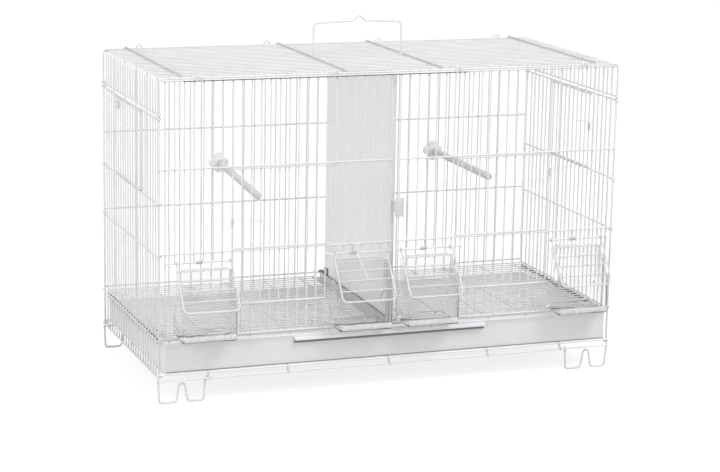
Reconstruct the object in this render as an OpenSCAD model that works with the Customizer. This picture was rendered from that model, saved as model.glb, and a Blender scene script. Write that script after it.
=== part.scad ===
// Breeding cage for canaries: a welded wire box on four bent wire feet, with a sliding
// divider, two floor grilles, a tray, two front doors, two nest box doors, four feeder
// flaps with clear cups, two perches and a carrying handle.
// Millimetres, +Z up, front toward -Y, origin on the floor under the middle of the outline.

/* [Wire box] */
// Width of the box between the axes of the corner posts
cage_w = 590.6; // [575:1:605]
// Depth of the box between the front and back wire planes
cage_d = 266.7; // [260:1:275]
// Height of the floor under the base rails
foot_h = 32.5; // [31:0.5:34]
// Height of the box above the base
body_h = 359.4; // [356:1:366]

/* [Wire] */
// Diameter of the upright mesh wires
mesh_d = 1.8; // [1.6:0.1:1.9]
// Diameter of the cross wires and edge wires
cross_d = 2.2; // [2:0.1:2.3]
// Diameter of the base rails, posts and feet
frame_d = 2.6; // [2.4:0.1:2.7]

/* [Doors] */
// Height of the front door openings
front_door_h = 101.4; // [94:0.2:104]
// Height of the nest box door openings
side_door_h = 99.9; // [94:0.1:101]
// Length of a latch arm
latch_arm = 42; // [36:1:48]

/* [Feeders] */
// Length of a feeder flap from its hinge bar
flap_len = 64; // [60:1:66]
// Slope of a closed feeder flap from upright
flap_tilt = 35.5; // [33:0.5:37]
// Width of a feeder flap over its side wires
flap_w = 70.6; // [68:0.2:72]
// Width of a feeder cup
cup_w = 67; // [60:0.5:68]

/* [Floor, tray and divider] */
// Height of the tray
tray_h = 37; // [30:0.5:37]
// Wall thickness of the tray
tray_wall = 1.4; // [1.2:0.1:1.8]
// Length of the tray's pull lip
tray_lip_w = 252; // [200:2:280]
// Thickness of the divider sheet
divider_t = 1.2; // [1:0.1:1.3]

/* [Perches and handle] */
// Diameter of a perch
perch_d = 9.5; // [8:0.5:11]
// Length of a perch
perch_len = 181; // [150:1:210]
// Distance between the legs of the handle
handle_w = 117.2; // [114:0.4:120]
// Height of the handle's shoulders above the top wires
handle_h = 43; // [36:1:46]

/* [Hidden] */
$fn = 32;

// Gap where two wires are welded, and play of a wire eye on its pin
weld = 0.02;
play = 0.08;
seat = 0.3;

// Radii of the three wires
mesh_r = mesh_d / 2;
cross_r = cross_d / 2;
frame_r = frame_d / 2;

// Distance from the upright wires' plane to the cross wires' plane, and to the base rails
layer = mesh_r + cross_r + weld;
rail_layer = mesh_r + frame_r + weld;

// The feeder hinge bar lies in the front's outer layer; the outline reaches from the
// flaps' lower wire to the perch nuts behind, and is centred on the origin
flap_wire_r = 1;
perch_nut_reach = 5.6;
front_reach = layer + flap_len * sin(flap_tilt) + flap_wire_r;
centre_y = (front_reach - perch_nut_reach) / 2;
front_y = centre_y - cage_d / 2;
back_y = centre_y + cage_d / 2;
side_x = cage_w / 2;

// Levels above the floor
top_z = foot_h + body_h;
top_wire_z = top_z - mesh_r;
top_rod_z = top_wire_z - 2.6;
drop_end_z = top_z - 43.9;
drop_rod_z = top_z - 42.8;
front_high_z = top_z - 107.9;
front_low_z = front_high_z - front_door_h;
front_mid_z = (front_high_z - front_door_h + foot_h) / 2 + 9.95;
front_foot_z = foot_h + 47.8;
bar_z = front_low_z - 11.3;
back_levels = [front_high_z + 0.8, front_low_z + 2.1, foot_h + 49.7];
side_high_z = top_z - 47.7;
side_mid_z = side_high_z - side_door_h;
side_low_z = front_low_z - 2.4;
ledge_z = front_foot_z - 2.4;
side_foot_z = foot_h + 1.2;
rail_high_z = foot_h + 3.8;
rail_low_z = foot_h - 3.8;
tray_z = rail_high_z + frame_r + 0.2;
grille_z = front_foot_z - 2.4;

// Upright wires: 50 in front, 40 behind, 21 on each side and over the top
front_pitch = (cage_w - 14.4) / 49;
back_half = 20;
back_pitch = (cage_w - 26.4) / (2 * back_half - 1);
side_pitch = cage_d / 22.6;
top_steps = 10;

// Columns of the front, counted outward from the middle
inner_feeder = [1, 6];
outer_feeder = [18, 23];
door_columns = [7, 17];
side_door_columns = [-4, 5];
last_column = 24;
column_end = front_foot_z - mesh_r;
column_top = top_rod_z + 1;
top_rod_x = side_x - 2.6;

// The handle's legs stand a little off the middle; two of the braces on the top wires lie
// beside them, two near the sides
handle_mid = -1.4;
handle_legs = [handle_mid - handle_w / 2, handle_mid + handle_w / 2];
brace_x = [-22.7 * front_pitch, handle_legs[0] - 3.5, handle_legs[1] + 2.8, 22.53 * front_pitch];

// Corner posts stand flush with the upright wires
post_in = frame_r - mesh_r;
post_low = foot_h - 1;
post_top = drop_end_z - 0.4;

// Hinges: the front doors turn on posts between two columns, the side doors likewise
door_hinge_x = 7 * front_pitch;
side_hinge_y = 4.5 * side_pitch;
door_gap = 0.3;

// Feeders, counted from the left: each takes seven gaps of the front, its cup and flap
// are off the middle by a share of the spare width; the inner flaps lift clear of the
// opened doors
feeder_spare = 7 * front_pitch - mesh_d - cup_w;
feeder_off = [0.92, 0.5, -0.5, -0.14];
feeder_x = [-21, -4, 4, 21] * front_pitch + feeder_off * feeder_spare / 2;

// Flap springs: wire, coil and the middles of the coils; an upright wire that would run
// into a coil ends above it
spring_d = 0.9;
spring_turns = 6;
spring_pitch = 1.4;
spring_r = cross_r + 0.35 + spring_d / 2;
spring_x = [-21, -4.5, 3.3, 20.5] * front_pitch;
spring_keep = (spring_turns * spring_pitch + spring_d) / 2 + mesh_r + 0.3;
function over_spring(x) = min([for (s = spring_x) abs(x - s)]) < spring_keep;

function unit(v) = v / norm(v);

// Straight round wire from one point to another
module rod(from, to, d) {
    v = to - from;
    length = norm(v);
    translate(from)
        rotate([0, acos(v[2] / length), atan2(v[1], v[0])])
            cylinder(h = length, d = d);
}

// Short tube for a wire eye: outside only, its bore is cut by eye_bore
module eye(at, axis, bore_r, wire_d) {
    half = wire_d / 2 + 0.07;
    rod(at - axis * half, at + axis * half, 2 * (bore_r + wire_d));
}

module eye_bore(at, axis, bore_r, wire_d) {
    rod(at - axis * wire_d, at + axis * wire_d, 2 * bore_r);
}

// Quarter bend in the plane of two unit vectors: from corner + out * r to corner + on * r
module quarter_bend(corner, out, on, r, d) {
    centre = corner + (out + on) * r;
    z = cross(-on, -out);
    multmatrix([[-on[0], -out[0], z[0], centre[0]],
                [-on[1], -out[1], z[1], centre[1]],
                [-on[2], -out[2], z[2], centre[2]]])
        rotate_extrude(angle = 90)
            translate([r, 0])
                circle(d = d);
}

// Points of a polyline with its corners rounded by arcs of a few steps; r is one radius
// or a list of them
function corner_half(before, at, after) =
    acos(unit(before - at) * unit(after - at)) / 2;
function corner_arc(before, at, after, r, steps) =
    let (
        out = unit(before - at),
        on = unit(after - at),
        half = corner_half(before, at, after),
        turn = 180 - 2 * half,
        centre = at + unit(out + on) * r / sin(half),
        first = at + out * r / tan(half) - centre,
        last = at + on * r / tan(half) - centre
    )
    [for (i = [0 : steps])
        centre + (first * sin(turn * (1 - i / steps)) + last * sin(turn * i / steps)) / sin(turn)];
function rounded(points, r, steps) = [
    points[0],
    for (i = [1 : len(points) - 2])
        let (bend_r = is_num(r) ? r : r[i - 1])
        for (p = corner_arc(points[i - 1], points[i], points[i + 1], bend_r, steps))
            p,
    points[len(points) - 1]
];

// Tangents along a list of points
function tangents(points) = [
    for (i = [0 : len(points) - 1])
        unit(points[min(i + 1, len(points) - 1)] - points[max(i - 1, 0)])
];

// Round wire swept along points as one closed surface; each point has a side vector that
// the first corner of its ring faces
module swept_wire(points, sides_at, d, sides) {
    n = len(points);
    along = tangents(points);
    step = 360 / sides;
    ring_r = d / 2 / cos(step / 2);
    rings = [
        for (i = [0 : n - 1])
            let (
                u = unit(sides_at[i] - along[i] * (sides_at[i] * along[i])),
                w = cross(along[i], u)
            )
            for (j = [0 : sides - 1])
                points[i] + ring_r * (cos(step * (j + 0.5)) * u + sin(step * (j + 0.5)) * w)
    ];
    walls = [
        for (i = [0 : n - 2])
            for (j = [0 : sides - 1])
                let (
                    a = i * sides + j,
                    b = i * sides + (j + 1) % sides
                )
                for (face = [[a, a + sides, b + sides], [a, b + sides, b]])
                    face
    ];
    near_cap = [[for (j = [0 : sides - 1]) j]];
    far_cap = [[for (j = [sides - 1 : -1 : 0]) (n - 1) * sides + j]];
    polyhedron(points = rings, faces = concat(near_cap, far_cap, walls), convexity = 8);
}

// Points along a wire, at most one step apart
function sampled(points, step) = [
    for (i = [0 : len(points) - 2])
        let (n = ceil(norm(points[i + 1] - points[i]) / step))
        for (k = [0 : n - 1])
            points[i] + (points[i + 1] - points[i]) * k / n
];

// Least clear gap between a coiled wire and itself, from half a turn further along
function least_gap(points, coil_r, d) =
    let (
        step = 0.5,
        p = sampled(points, step),
        apart = ceil(PI * coil_r / step),
        last = len(p) - 1
    )
    min([for (i = [0 : last - apart]) for (j = [i + apart : last]) norm(p[i] - p[j])]) - d;

// ---------------------------------------------------------------- wire box

function column_x(k) = (k + 0.5) * front_pitch;
function in_columns(k, range) = k >= range[0] && k <= range[1];

// Upright wire of the wire box
module upright(x, y, low, high, d) {
    rod([x, y, low], [x, y, high], d);
}

module front_columns(side) {
    spring_top = bar_z + spring_r + spring_d / 2 + 0.3;
    for (k = [0 : last_column]) {
        x = side * column_x(k);
        if (in_columns(k, inner_feeder) || in_columns(k, outer_feeder)) {
            upright(x, front_y, over_spring(x) ? spring_top : bar_z - mesh_r, column_top, mesh_d);
        } else if (in_columns(k, door_columns)) {
            upright(x, front_y, column_end, front_low_z + mesh_r, mesh_d);
            upright(x, front_y, front_high_z - mesh_r, column_top, mesh_d);
        } else {
            upright(x, front_y, column_end, column_top, mesh_d);
        }
    }
}

module front_half() {
    rod_y = front_y - layer;
    slot_x = column_x(0) - 1.2;
    end_x = side_x + 1;
    upright(side_x, front_y + post_in, post_low, post_top, frame_d);
    upright(door_hinge_x, front_y, front_low_z - cross_r, front_high_z + cross_r, mesh_d);
    for (z = [front_low_z, front_high_z])
        rod([slot_x, rod_y, z], [end_x, rod_y, z], cross_d);
    rod([column_x(7) - mesh_r, rod_y, front_mid_z], [column_x(17) + mesh_r, rod_y, front_mid_z], cross_d);
    for (bar = [[0, 7], [17, 24]])
        rod([column_x(bar[0]) - 1.5, rod_y, bar_z], [column_x(bar[1]) + 1.5, rod_y, bar_z], cross_d);
}

module front_panel() {
    rod_y = front_y - layer;
    color("white") {
        front_half();
        mirror([1, 0, 0])
            front_half();
        for (side = [-1, 1])
            front_columns(side);
        rod([-side_x - 1, rod_y, front_foot_z], [side_x + 1, rod_y, front_foot_z], cross_d);
        rod([-top_rod_x, rod_y, top_rod_z], [top_rod_x, rod_y, top_rod_z], cross_d);
    }
}

module back_panel() {
    rod_y = back_y + layer;
    color("white") {
        for (side = [-1, 1]) {
            for (k = [0 : back_half - 1])
                upright(side * (k + 0.5) * back_pitch, back_y, side_foot_z, column_top, mesh_d);
            upright(side * side_x, back_y - post_in, post_low, post_top, frame_d);
        }
        for (z = back_levels)
            rod([-side_x - 1, rod_y, z], [side_x + 1, rod_y, z], cross_d);
        rod([-top_rod_x, rod_y, top_rod_z], [top_rod_x, rod_y, top_rod_z], cross_d);
    }
}

// Cross wire along Y whose ends curl round two upright wires at one x; an open curl
// leaves their inner side free
module eyed_rod(x, out, front, back, z, pin_r, open = false) {
    bore_r = pin_r + 0.05;
    rod_in = abs(x - out) - cross_r;
    trim = sqrt(pow(bore_r + cross_d, 2) - pow(rod_in, 2)) + weld;
    inward = x > out ? 1 : -1;
    rod([out, front + trim, z], [out, back - trim, z], cross_d);
    for (y = [front, back])
        difference() {
            eye([x, y, z], [0, 0, 1], bore_r, cross_d);
            eye_bore([x, y, z], [0, 0, 1], bore_r, cross_d);
            if (open)
                translate([x + inward * (pin_r + 10.1), y, z])
                    cube([20, 20, 10], center = true);
        }
}

// Side panel seen with its door's hinge toward the front: the left one as it stands
module side_panel() {
    plane_x = -side_x;
    rod_x = plane_x - layer;
    runner_x = plane_x + layer;
    runner_z = grille_z - mesh_r - cross_r - 0.1;
    runner_y = top_steps * side_pitch + 5;
    for (i = [-top_steps : top_steps])
        upright(plane_x, centre_y + i * side_pitch, side_foot_z - mesh_r,
            (in_columns(i, side_door_columns) ? side_mid_z : side_high_z) + mesh_r, mesh_d);
    upright(plane_x, centre_y - side_hinge_y, side_mid_z - cross_r, side_high_z + cross_r, mesh_d);
    for (z = [side_high_z, side_mid_z, side_low_z, side_foot_z])
        eyed_rod(plane_x, rod_x, front_y + post_in, back_y - post_in, z, frame_r);
    eyed_rod(plane_x, rod_x, front_y + post_in, back_y - post_in, ledge_z, frame_r, true);
    rod([runner_x, centre_y - runner_y, runner_z], [runner_x, centre_y + runner_y, runner_z], cross_d);
}

module left_side_panel() {
    color("white")
        side_panel();
}

module right_side_panel() {
    color("white")
        translate([0, 2 * centre_y, 0])
            rotate([0, 0, 180])
                side_panel();
}

// Top wires run across the box and turn down over both sides
module top_wire(y, d, z) {
    bend_r = 5;
    for (side = [-1, 1]) {
        union() {
            quarter_bend([side * side_x, y, z], [-side, 0, 0], [0, 0, -1], bend_r, d);
            upright(side * side_x, y, drop_end_z, z - bend_r, d);
        }
    }
    half = side_x - bend_r - weld;
    rod([-half, y, z], [half, y, z], d);
}

module top_panel() {
    edge_in = 0.4;
    edge_z = top_z - cross_r;
    brace_z = top_wire_z + layer;
    color("white") {
        for (i = [-top_steps : top_steps])
            top_wire(centre_y + i * side_pitch, mesh_d, top_wire_z);
        for (y = [front_y - edge_in, back_y + edge_in])
            top_wire(y, cross_d, edge_z);
        for (side = [-1, 1])
            eyed_rod(side * side_x, side * (side_x + layer), front_y - edge_in, back_y + edge_in,
                drop_rod_z, cross_r);
        for (x = brace_x)
            rod([x, front_y + 3.5, brace_z], [x, back_y + edge_in + cross_r, brace_z], cross_d);
    }
}

// Where a wire would run into an upright wire of the back, it stands beside it
function beside_column(x, wire_r) =
    let (near = (round(x / back_pitch - 0.5) + 0.5) * back_pitch, keep = wire_r + mesh_r + 0.3)
    abs(x - near) < keep ? near + (x < near ? -keep : keep) : x;

// Rings that tie the top panel's edge wires to the front and back panels' top wires
clip_wire_d = 1.6;
module top_clip(x, out) {
    edge = [0, (out > 0 ? back_y + 0.4 : front_y - 0.4), top_z - cross_r];
    rim = [0, (out > 0 ? back_y + layer : front_y - layer), top_rod_z];
    ring_r = norm(edge - rim) / 2 + cross_r + 0.08 + clip_wire_d / 2;
    translate([x, 0, 0])
        translate((edge + rim) / 2)
            rotate([0, 90, 0])
                rotate_extrude()
                    translate([ring_r, 0])
                        circle(d = clip_wire_d);
}

module top_clips() {
    color("white")
        for (out = [-1, 1])
            for (x = [-21.1, -6.7, 6.7, 21.1] * front_pitch)
                top_clip(out > 0 ? beside_column(x, clip_wire_d / 2) : x, out);
}

// ---------------------------------------------------------------- base and feet

foot_half = 29.5;
foot_x = side_x - 28.2;

// Wire from front to back whose ends turn down behind the base rails
module base_cross_wire(x) {
    z = rail_high_z - 0.1;
    turn_r = 3.5;
    ends = [front_y + post_in, back_y - post_in];
    rod([x, ends[0] + turn_r + weld, z], [x, ends[1] - turn_r - weld, z], frame_d);
    for (i = [0, 1]) {
        toward = i == 0 ? 1 : -1;
        union() {
            quarter_bend([x, ends[i], z], [0, toward, 0], [0, 0, -1], turn_r, frame_d);
            upright(x, ends[i], rail_low_z - 1.2, z - turn_r, frame_d);
        }
    }
}

base_wire_x = [
    frame_d + 0.3 + foot_half - foot_x, -11.4 * front_pitch, -0.25 * front_pitch,
    11 * front_pitch, 19.5 * front_pitch
];

module base_frame() {
    color("white") {
        for (y = [front_y - rail_layer, back_y + rail_layer])
            for (z = [rail_low_z, rail_high_z])
                rod([-side_x - 1.3, y, z], [side_x + 1.3, y, z], frame_d);
        for (x = base_wire_x)
            base_cross_wire(beside_column(x, frame_r));
    }
}

// Foot bent from one wire into two U shapes, flat underneath
module foot(x, y) {
    top = foot_h - 1.5;
    low = frame_r;
    hump = foot_h - 9;
    corners = [
        [-foot_half, top], [-28, low], [-7.2, low], [-3.4, hump],
        [3.4, hump], [7.2, low], [26.5, low], [foot_half, top]
    ];
    bends = [3.5, 4.5, 2.6, 2.6, 4.5, 3.5];
    path = rounded([for (c = corners) [x + c[0], y, c[1]]], bends, 3);
    color("white")
        swept_wire(path, [for (p = path) [0, 1, 0]], frame_d, 8);
}

foot_y = front_y - rail_layer + frame_d + weld;
foot_back_y = back_y + rail_layer - frame_d - weld;

module foot_front_left() {
    foot(-foot_x, foot_y);
}

module foot_front_right() {
    foot(foot_x, foot_y);
}

module foot_back_left() {
    foot(-foot_x, foot_back_y);
}

module foot_back_right() {
    foot(foot_x, foot_back_y);
}

// ---------------------------------------------------------------- floor, tray, divider

grille_inner = 9.5;
grille_outer = side_x - frame_r - 0.8;

// One floor grille: wires across, on six wires from front to back; its front wire is longer
module floor_grille(side) {
    first_y = front_y;
    last_y = back_y - mesh_d - 0.5;
    steps = 24;
    carrier_d = 2;
    carrier_z = grille_z - mesh_r - carrier_d / 2 - weld;
    for (i = [0 : steps]) {
        y = first_y + (last_y - first_y) * i / steps;
        inner = i == 0 ? 3.5 : grille_inner;
        rod([side * inner, y, grille_z], [side * grille_outer, y, grille_z], mesh_d);
    }
    for (i = [0 : 5]) {
        x = side * (grille_inner + 20.5 + (grille_outer - grille_inner - 31.7) * i / 5);
        rod([x, first_y - 0.4, carrier_z], [x, last_y + 0.4, carrier_z], carrier_d);
    }
}

module left_floor_grille() {
    color("white")
        floor_grille(-1);
}

module right_floor_grille() {
    color("white")
        floor_grille(1);
}

// Box given by its low corner and its high corner
module block(low, high) {
    translate(low)
        cube(high - low);
}

tray_x = side_x - 3.3;
lip_off = -2;
tray_front = front_y - 1.6;
tray_back = back_y - 13;
lip_z = tray_z + tray_h - 7.1;

// The side walls slope down from the front wall to a lower back wall
module tray() {
    lip_out = 6.2;
    lip_t = 1.2;
    back_h = tray_h - 7;
    color([0.86, 0.86, 0.9]) {
        difference() {
            translate([-tray_x, 0, tray_z])
                rotate([90, 0, 90])
                    linear_extrude(2 * tray_x)
                        polygon([
                            [tray_front, 0], [tray_back, 0], [tray_back, back_h], [tray_front, tray_h]
                        ]);
            block([-tray_x + tray_wall, tray_front + tray_wall, tray_z + tray_wall],
                [tray_x - tray_wall, tray_back - tray_wall, tray_z + tray_h + 1]);
        }
        translate([lip_off - tray_lip_w / 2, 0, 0])
            rotate([90, 0, 90])
                linear_extrude(tray_lip_w)
                    polygon([
                        [tray_front, lip_z + 4.6], [tray_front - 2.2, lip_z + 4.4],
                        [tray_front - lip_out, lip_z + 2.8], [tray_front - lip_out, lip_z],
                        [tray_front - lip_out + lip_t, lip_z],
                        [tray_front - lip_out + lip_t, lip_z + 1.8], [tray_front, lip_z + 3.2]
                    ]);
    }
}

divider_low = front_foot_z + cross_r + 0.8;
divider_top = top_rod_z - cross_r - 0.8;
hem_front = front_y + 7;
hem_back = front_y + 12;
hem_x = 3.3;
sheet_back = back_y - 20;

module divider() {
    slot_y = centre_y + 32;
    slot_z = front_high_z - 20;
    color([0.88, 0.88, 0.92])
        difference() {
            union() {
                block([-hem_x, hem_front, divider_low], [hem_x, hem_back, divider_top]);
                block([-divider_t / 2, hem_back - 1, divider_low],
                    [divider_t / 2, sheet_back, divider_top]);
            }
            block([-hem_x, slot_y, slot_z], [hem_x, slot_y + 3, slot_z + 11]);
        }
}

// Pull on the divider's front hem, turned to the right in front of the wires
module divider_pull() {
    tab_z = [front_high_z - 71, front_high_z - 47];
    color("white") {
        block([-1.2, front_y - 5.6, tab_z[0] + 6], [1.2, hem_front - weld, tab_z[1] - 6]);
        block([-1.2, front_y - 6.8, tab_z[0]], [9.7, front_y - 5.6, tab_z[1]]);
    }
}

// Strip under the divider: its flange carries the inner ends of both grilles
module divider_rail() {
    flange_x = 12;
    flange_top = grille_z - mesh_r - 0.1;
    groove_x = divider_t / 2 + seat;
    wall_x = groove_x + 1;
    floor_z = divider_low - seat;
    groove_front = hem_back + 2;
    color("white")
        difference() {
            union() {
                block([-flange_x, front_y + 1.5, flange_top - 0.9],
                    [flange_x, back_y - mesh_r - weld, flange_top]);
                block([-wall_x, front_y - layer + cross_r + weld, flange_top - 0.5],
                    [wall_x, back_y - 4, floor_z]);
                block([-wall_x, groove_front, floor_z - 0.5], [wall_x, back_y - 4, floor_z + 2.6]);
            }
            block([-groove_x, groove_front - 1, floor_z], [groove_x, back_y, floor_z + 3]);
        }
}

// Two wires under the top that keep the divider's upper edge upright
module divider_top_guide() {
    guide_d = 2;
    guide_x = divider_t / 2 + seat + guide_d / 2;
    guide_z = divider_top - guide_d / 2;
    hang_y = top_steps * side_pitch;
    color("white")
        for (x = [-guide_x, guide_x])
            union() {
                rod([x, centre_y - hang_y - 1, guide_z], [x, centre_y + hang_y + 1, guide_z], guide_d);
                for (y = [-hang_y, hang_y])
                    upright(x, centre_y + y, guide_z, top_wire_z - mesh_r - weld, guide_d - 0.2);
            }
}

// Forked clip that takes the divider's back edge: two cheeks on two strips, and a foot that
// rests on the back's lowest cross wire, between two upright wires
module divider_back_clip() {
    clip_t = 1.2;
    plate_back = back_y - mesh_r - weld;
    fork_x = divider_t / 2 + seat;
    outer_x = fork_x + clip_t;
    strip_z = foot_h + 52.5;
    strip_h = 1.5;
    clip_top = foot_h + 62;
    cheek_front = sheet_back - 13.5;
    wire_z = back_levels[2] + cross_r + weld;
    color([0.45, 0.45, 0.47])
        union() {
            block([-outer_x, plate_back - clip_t, wire_z], [outer_x, plate_back, strip_z + strip_h]);
            block([-outer_x, plate_back - clip_t, wire_z],
                [outer_x, back_y + layer + cross_r, wire_z + clip_t]);
            for (side = [0, 1])
                mirror([side, 0, 0]) {
                    block([fork_x, cheek_front, strip_z], [outer_x, plate_back - 1, strip_z + strip_h]);
                    block([fork_x, cheek_front, strip_z], [outer_x, sheet_back, clip_top]);
                }
        }
}

// ---------------------------------------------------------------- doors and latches

// Wire door in its own frame: hinge axis at x = 0, door toward +X, outside toward -Y
module wire_door(pitch, bars, low_z, high_z) {
    axis = [0, 0, 1];
    bore_r = mesh_r + play;
    end_x = (bars - 0.5) * pitch + mesh_r;
    color("white") {
        for (i = [0 : bars - 1])
            upright((i + 0.5) * pitch, 0, low_z - mesh_r, high_z + mesh_r, mesh_d);
        for (z = [low_z, high_z])
            difference() {
                union() {
                    rod([0, -layer, z], [end_x, -layer, z], cross_d);
                    eye([0, 0, z], axis, bore_r, cross_d);
                }
                eye_bore([0, 0, z], axis, bore_r, cross_d);
            }
    }
}

// Latch bent from one wire: hook, coil round the door's last bar, long arm
latch_d = 1.1;
latch_turns = 5;
latch_pitch = 1.9;
latch_coil_r = mesh_r + 0.45 + latch_d / 2;
module wire_latch(hook, droop) {
    ring_steps = 8;
    coil_h = latch_turns * latch_pitch;
    count = latch_turns * ring_steps;
    coil = [
        for (i = [0 : count])
            let (a = 360 * i / ring_steps)
            [latch_coil_r * -sin(a), -latch_coil_r * cos(a), coil_h * i / count]
    ];
    coil_sides = [
        for (i = [0 : count])
            let (a = 360 * i / ring_steps)
            [-sin(a), -cos(a), 0]
    ];
    straight = [0, -latch_coil_r, 0];
    points = concat([straight + [hook, 0, 0]], coil, [straight + [-latch_arm, 0, coil_h - droop]]);
    sides_at = concat([[0, -1, 0]], coil_sides, [[0, -1, 0]]);
    echo(latch_wire_gap = least_gap(points, latch_coil_r, latch_d));
    color("white")
        swept_wire(points, sides_at, latch_d, 6);
}

front_bars = 11;
side_bars = 10;
front_hook = front_pitch - mesh_r - latch_d / 2 - 0.9;
side_hook = side_pitch - mesh_r - latch_d / 2 - 0.9;
front_stile = (front_bars - 0.5) * front_pitch;
side_stile = (side_bars - 0.5) * side_pitch;
door_low = front_low_z + cross_d + door_gap;
door_high = front_high_z - cross_d - door_gap;
side_door_low = side_mid_z + cross_d + door_gap;
side_door_high = side_high_z - cross_d - door_gap;

// Places a door or latch made toward +X: on the front's left or right, or on a side
module at_front(side) {
    translate([side * door_hinge_x, front_y, 0])
        mirror([side < 0 ? 1 : 0, 0, 0])
            children();
}

module at_left_side() {
    translate([-side_x, centre_y - side_hinge_y, 0])
        rotate([0, 0, -90])
            mirror([1, 0, 0])
                children();
}

module at_right_side() {
    translate([side_x, centre_y + side_hinge_y, 0])
        rotate([0, 0, 90])
            mirror([1, 0, 0])
                children();
}

module left_front_door() {
    at_front(-1)
        wire_door(front_pitch, front_bars, door_low, door_high);
}

module right_front_door() {
    at_front(1)
        wire_door(front_pitch, front_bars, door_low, door_high);
}

module left_side_door() {
    at_left_side()
        wire_door(side_pitch, side_bars, side_door_low, side_door_high);
}

module right_side_door() {
    at_right_side()
        wire_door(side_pitch, side_bars, side_door_low, side_door_high);
}

module left_front_latch() {
    at_front(-1)
        translate([front_stile, 0, front_low_z + 28.9])
            wire_latch(front_hook, 4.2);
}

// This latch was put on upside down, with its arm below
module right_front_latch() {
    at_front(1)
        translate([front_stile, 0, front_low_z + 80.4])
            mirror([0, 0, 1])
                wire_latch(front_hook, -4.8);
}

module left_side_latch() {
    at_left_side()
        translate([side_stile, 0, side_high_z - 16.7])
            wire_latch(side_hook, 4);
}

module right_side_latch() {
    at_right_side()
        translate([side_stile, 0, side_high_z - 48.7])
            wire_latch(side_hook, 4);
}

// ---------------------------------------------------------------- feeders

flap_eye_d = 1.8;
flap_slats = [0.156, 0.36, 0.5625, 0.773] * flap_len;

// Place of a flap's eye: at its side wire, or inward of it where an upright wire is near
function eye_place(x, inward) =
    let (
        near = column_x(round(x / front_pitch - 0.5)),
        keep = flap_eye_d / 2 + 0.07 + mesh_r + 0.25
    )
    abs(x - near) < keep ? near + inward * keep : x;

// Flap hanging straight down from its hinge axis along X, outside toward -Y
module hanging_flap(middle) {
    side = flap_w / 2 - flap_wire_r;
    low = -flap_len;
    turn_r = 6;
    bore_r = cross_r + play;
    slat_d = 1.6;
    slat_y = flap_wire_r + slat_d / 2 + weld;
    axis = [1, 0, 0];
    start = -bore_r - 0.3;
    joint_z = -bore_r - flap_wire_r;
    difference() {
        union() {
            for (s = [-1, 1]) {
                rod([s * side, 0, start], [s * side, 0, low + turn_r], 2 * flap_wire_r);
                quarter_bend([s * side, 0, low], [0, 0, 1], [-s, 0, 0], turn_r, 2 * flap_wire_r);
                eye([eye_place(middle + s * side, -s) - middle, 0, 0], axis, bore_r, flap_eye_d);
                rod([s * side, 0, joint_z],
                    [eye_place(middle + s * side, -s) - middle - s * 0.5, 0, joint_z],
                    2 * flap_wire_r);
            }
            rod([-side + turn_r, 0, low], [side - turn_r, 0, low], 2 * flap_wire_r);
        }
        for (s = [-1, 1])
            eye_bore([eye_place(middle + s * side, -s) - middle, 0, 0], axis, bore_r, flap_eye_d);
    }
    for (along = flap_slats)
        rod([-side - 0.8, slat_y, -along], [side + 0.8, slat_y, -along], slat_d);
}

module feeder_flap(i) {
    color("white")
        translate([feeder_x[i], front_y - layer, bar_z])
            rotate([-flap_tilt, 0, 0])
                hanging_flap(feeder_x[i]);
}

module feeder_flap_1() {
    feeder_flap(0);
}

module feeder_flap_2() {
    feeder_flap(1);
}

module feeder_flap_3() {
    feeder_flap(2);
}

module feeder_flap_4() {
    feeder_flap(3);
}

// Spring round the hinge bar: one leg rests on the cross wire above, one on the flap
module flap_spring(i) {
    ring_steps = 8;
    end_turn = spring_turns * 360 - flap_tilt;
    count = spring_turns * ring_steps;
    coil_w = spring_pitch * end_turn / 360;
    centre = [spring_x[i], front_y - layer, bar_z];
    coil = [
        for (k = [0 : count])
            let (a = end_turn * k / count)
            centre + [coil_w * (k / count - 0.5), -spring_r * cos(a), -spring_r * sin(a)]
    ];
    coil_sides = [
        for (k = [0 : count])
            let (a = end_turn * k / count)
            [0, -cos(a), -sin(a)]
    ];
    down = [0, -sin(flap_tilt), -cos(flap_tilt)];
    inward = [0, cos(flap_tilt), -sin(flap_tilt)];
    leg_reach = flap_slats[2] + 1.5;
    leg_sink = spring_r - (flap_wire_r + spring_d / 2 - cross_r - 0.9);
    upper_leg = centre + [-coil_w / 2, -cross_r - spring_d / 2 - 0.12, front_low_z - bar_z + 1.6];
    lower_leg = coil[count] + down * leg_reach + inward * leg_sink + [8.5, 0, 0];
    points = concat([upper_leg], coil, [lower_leg]);
    sides_at = concat([[0, -1, 0]], coil_sides, [coil_sides[count]]);
    echo(spring_wire_gap = least_gap(points, spring_r, spring_d));
    color("silver")
        swept_wire(points, sides_at, spring_d, 6);
}

module flap_spring_1() {
    flap_spring(0);
}

module flap_spring_2() {
    flap_spring(1);
}

module flap_spring_3() {
    flap_spring(2);
}

module flap_spring_4() {
    flap_spring(3);
}

// Clear cup: a bin hooked over the front's bottom wire, with a hood under the flap.
// Side outlines are in the YZ plane, y from the front wires, z above the bottom wire.
cup_wall = 1.3;
hood_gap = flap_wire_r + 1.6 + weld + 0.45;
hood_top = 8;
hood_low = 52.2;
function hood_point(along, deep) =
    let (
        y = -layer + deep * cos(flap_tilt) - along * sin(flap_tilt),
        z = bar_z - deep * sin(flap_tilt) - along * cos(flap_tilt)
    )
    [y, z];

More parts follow.
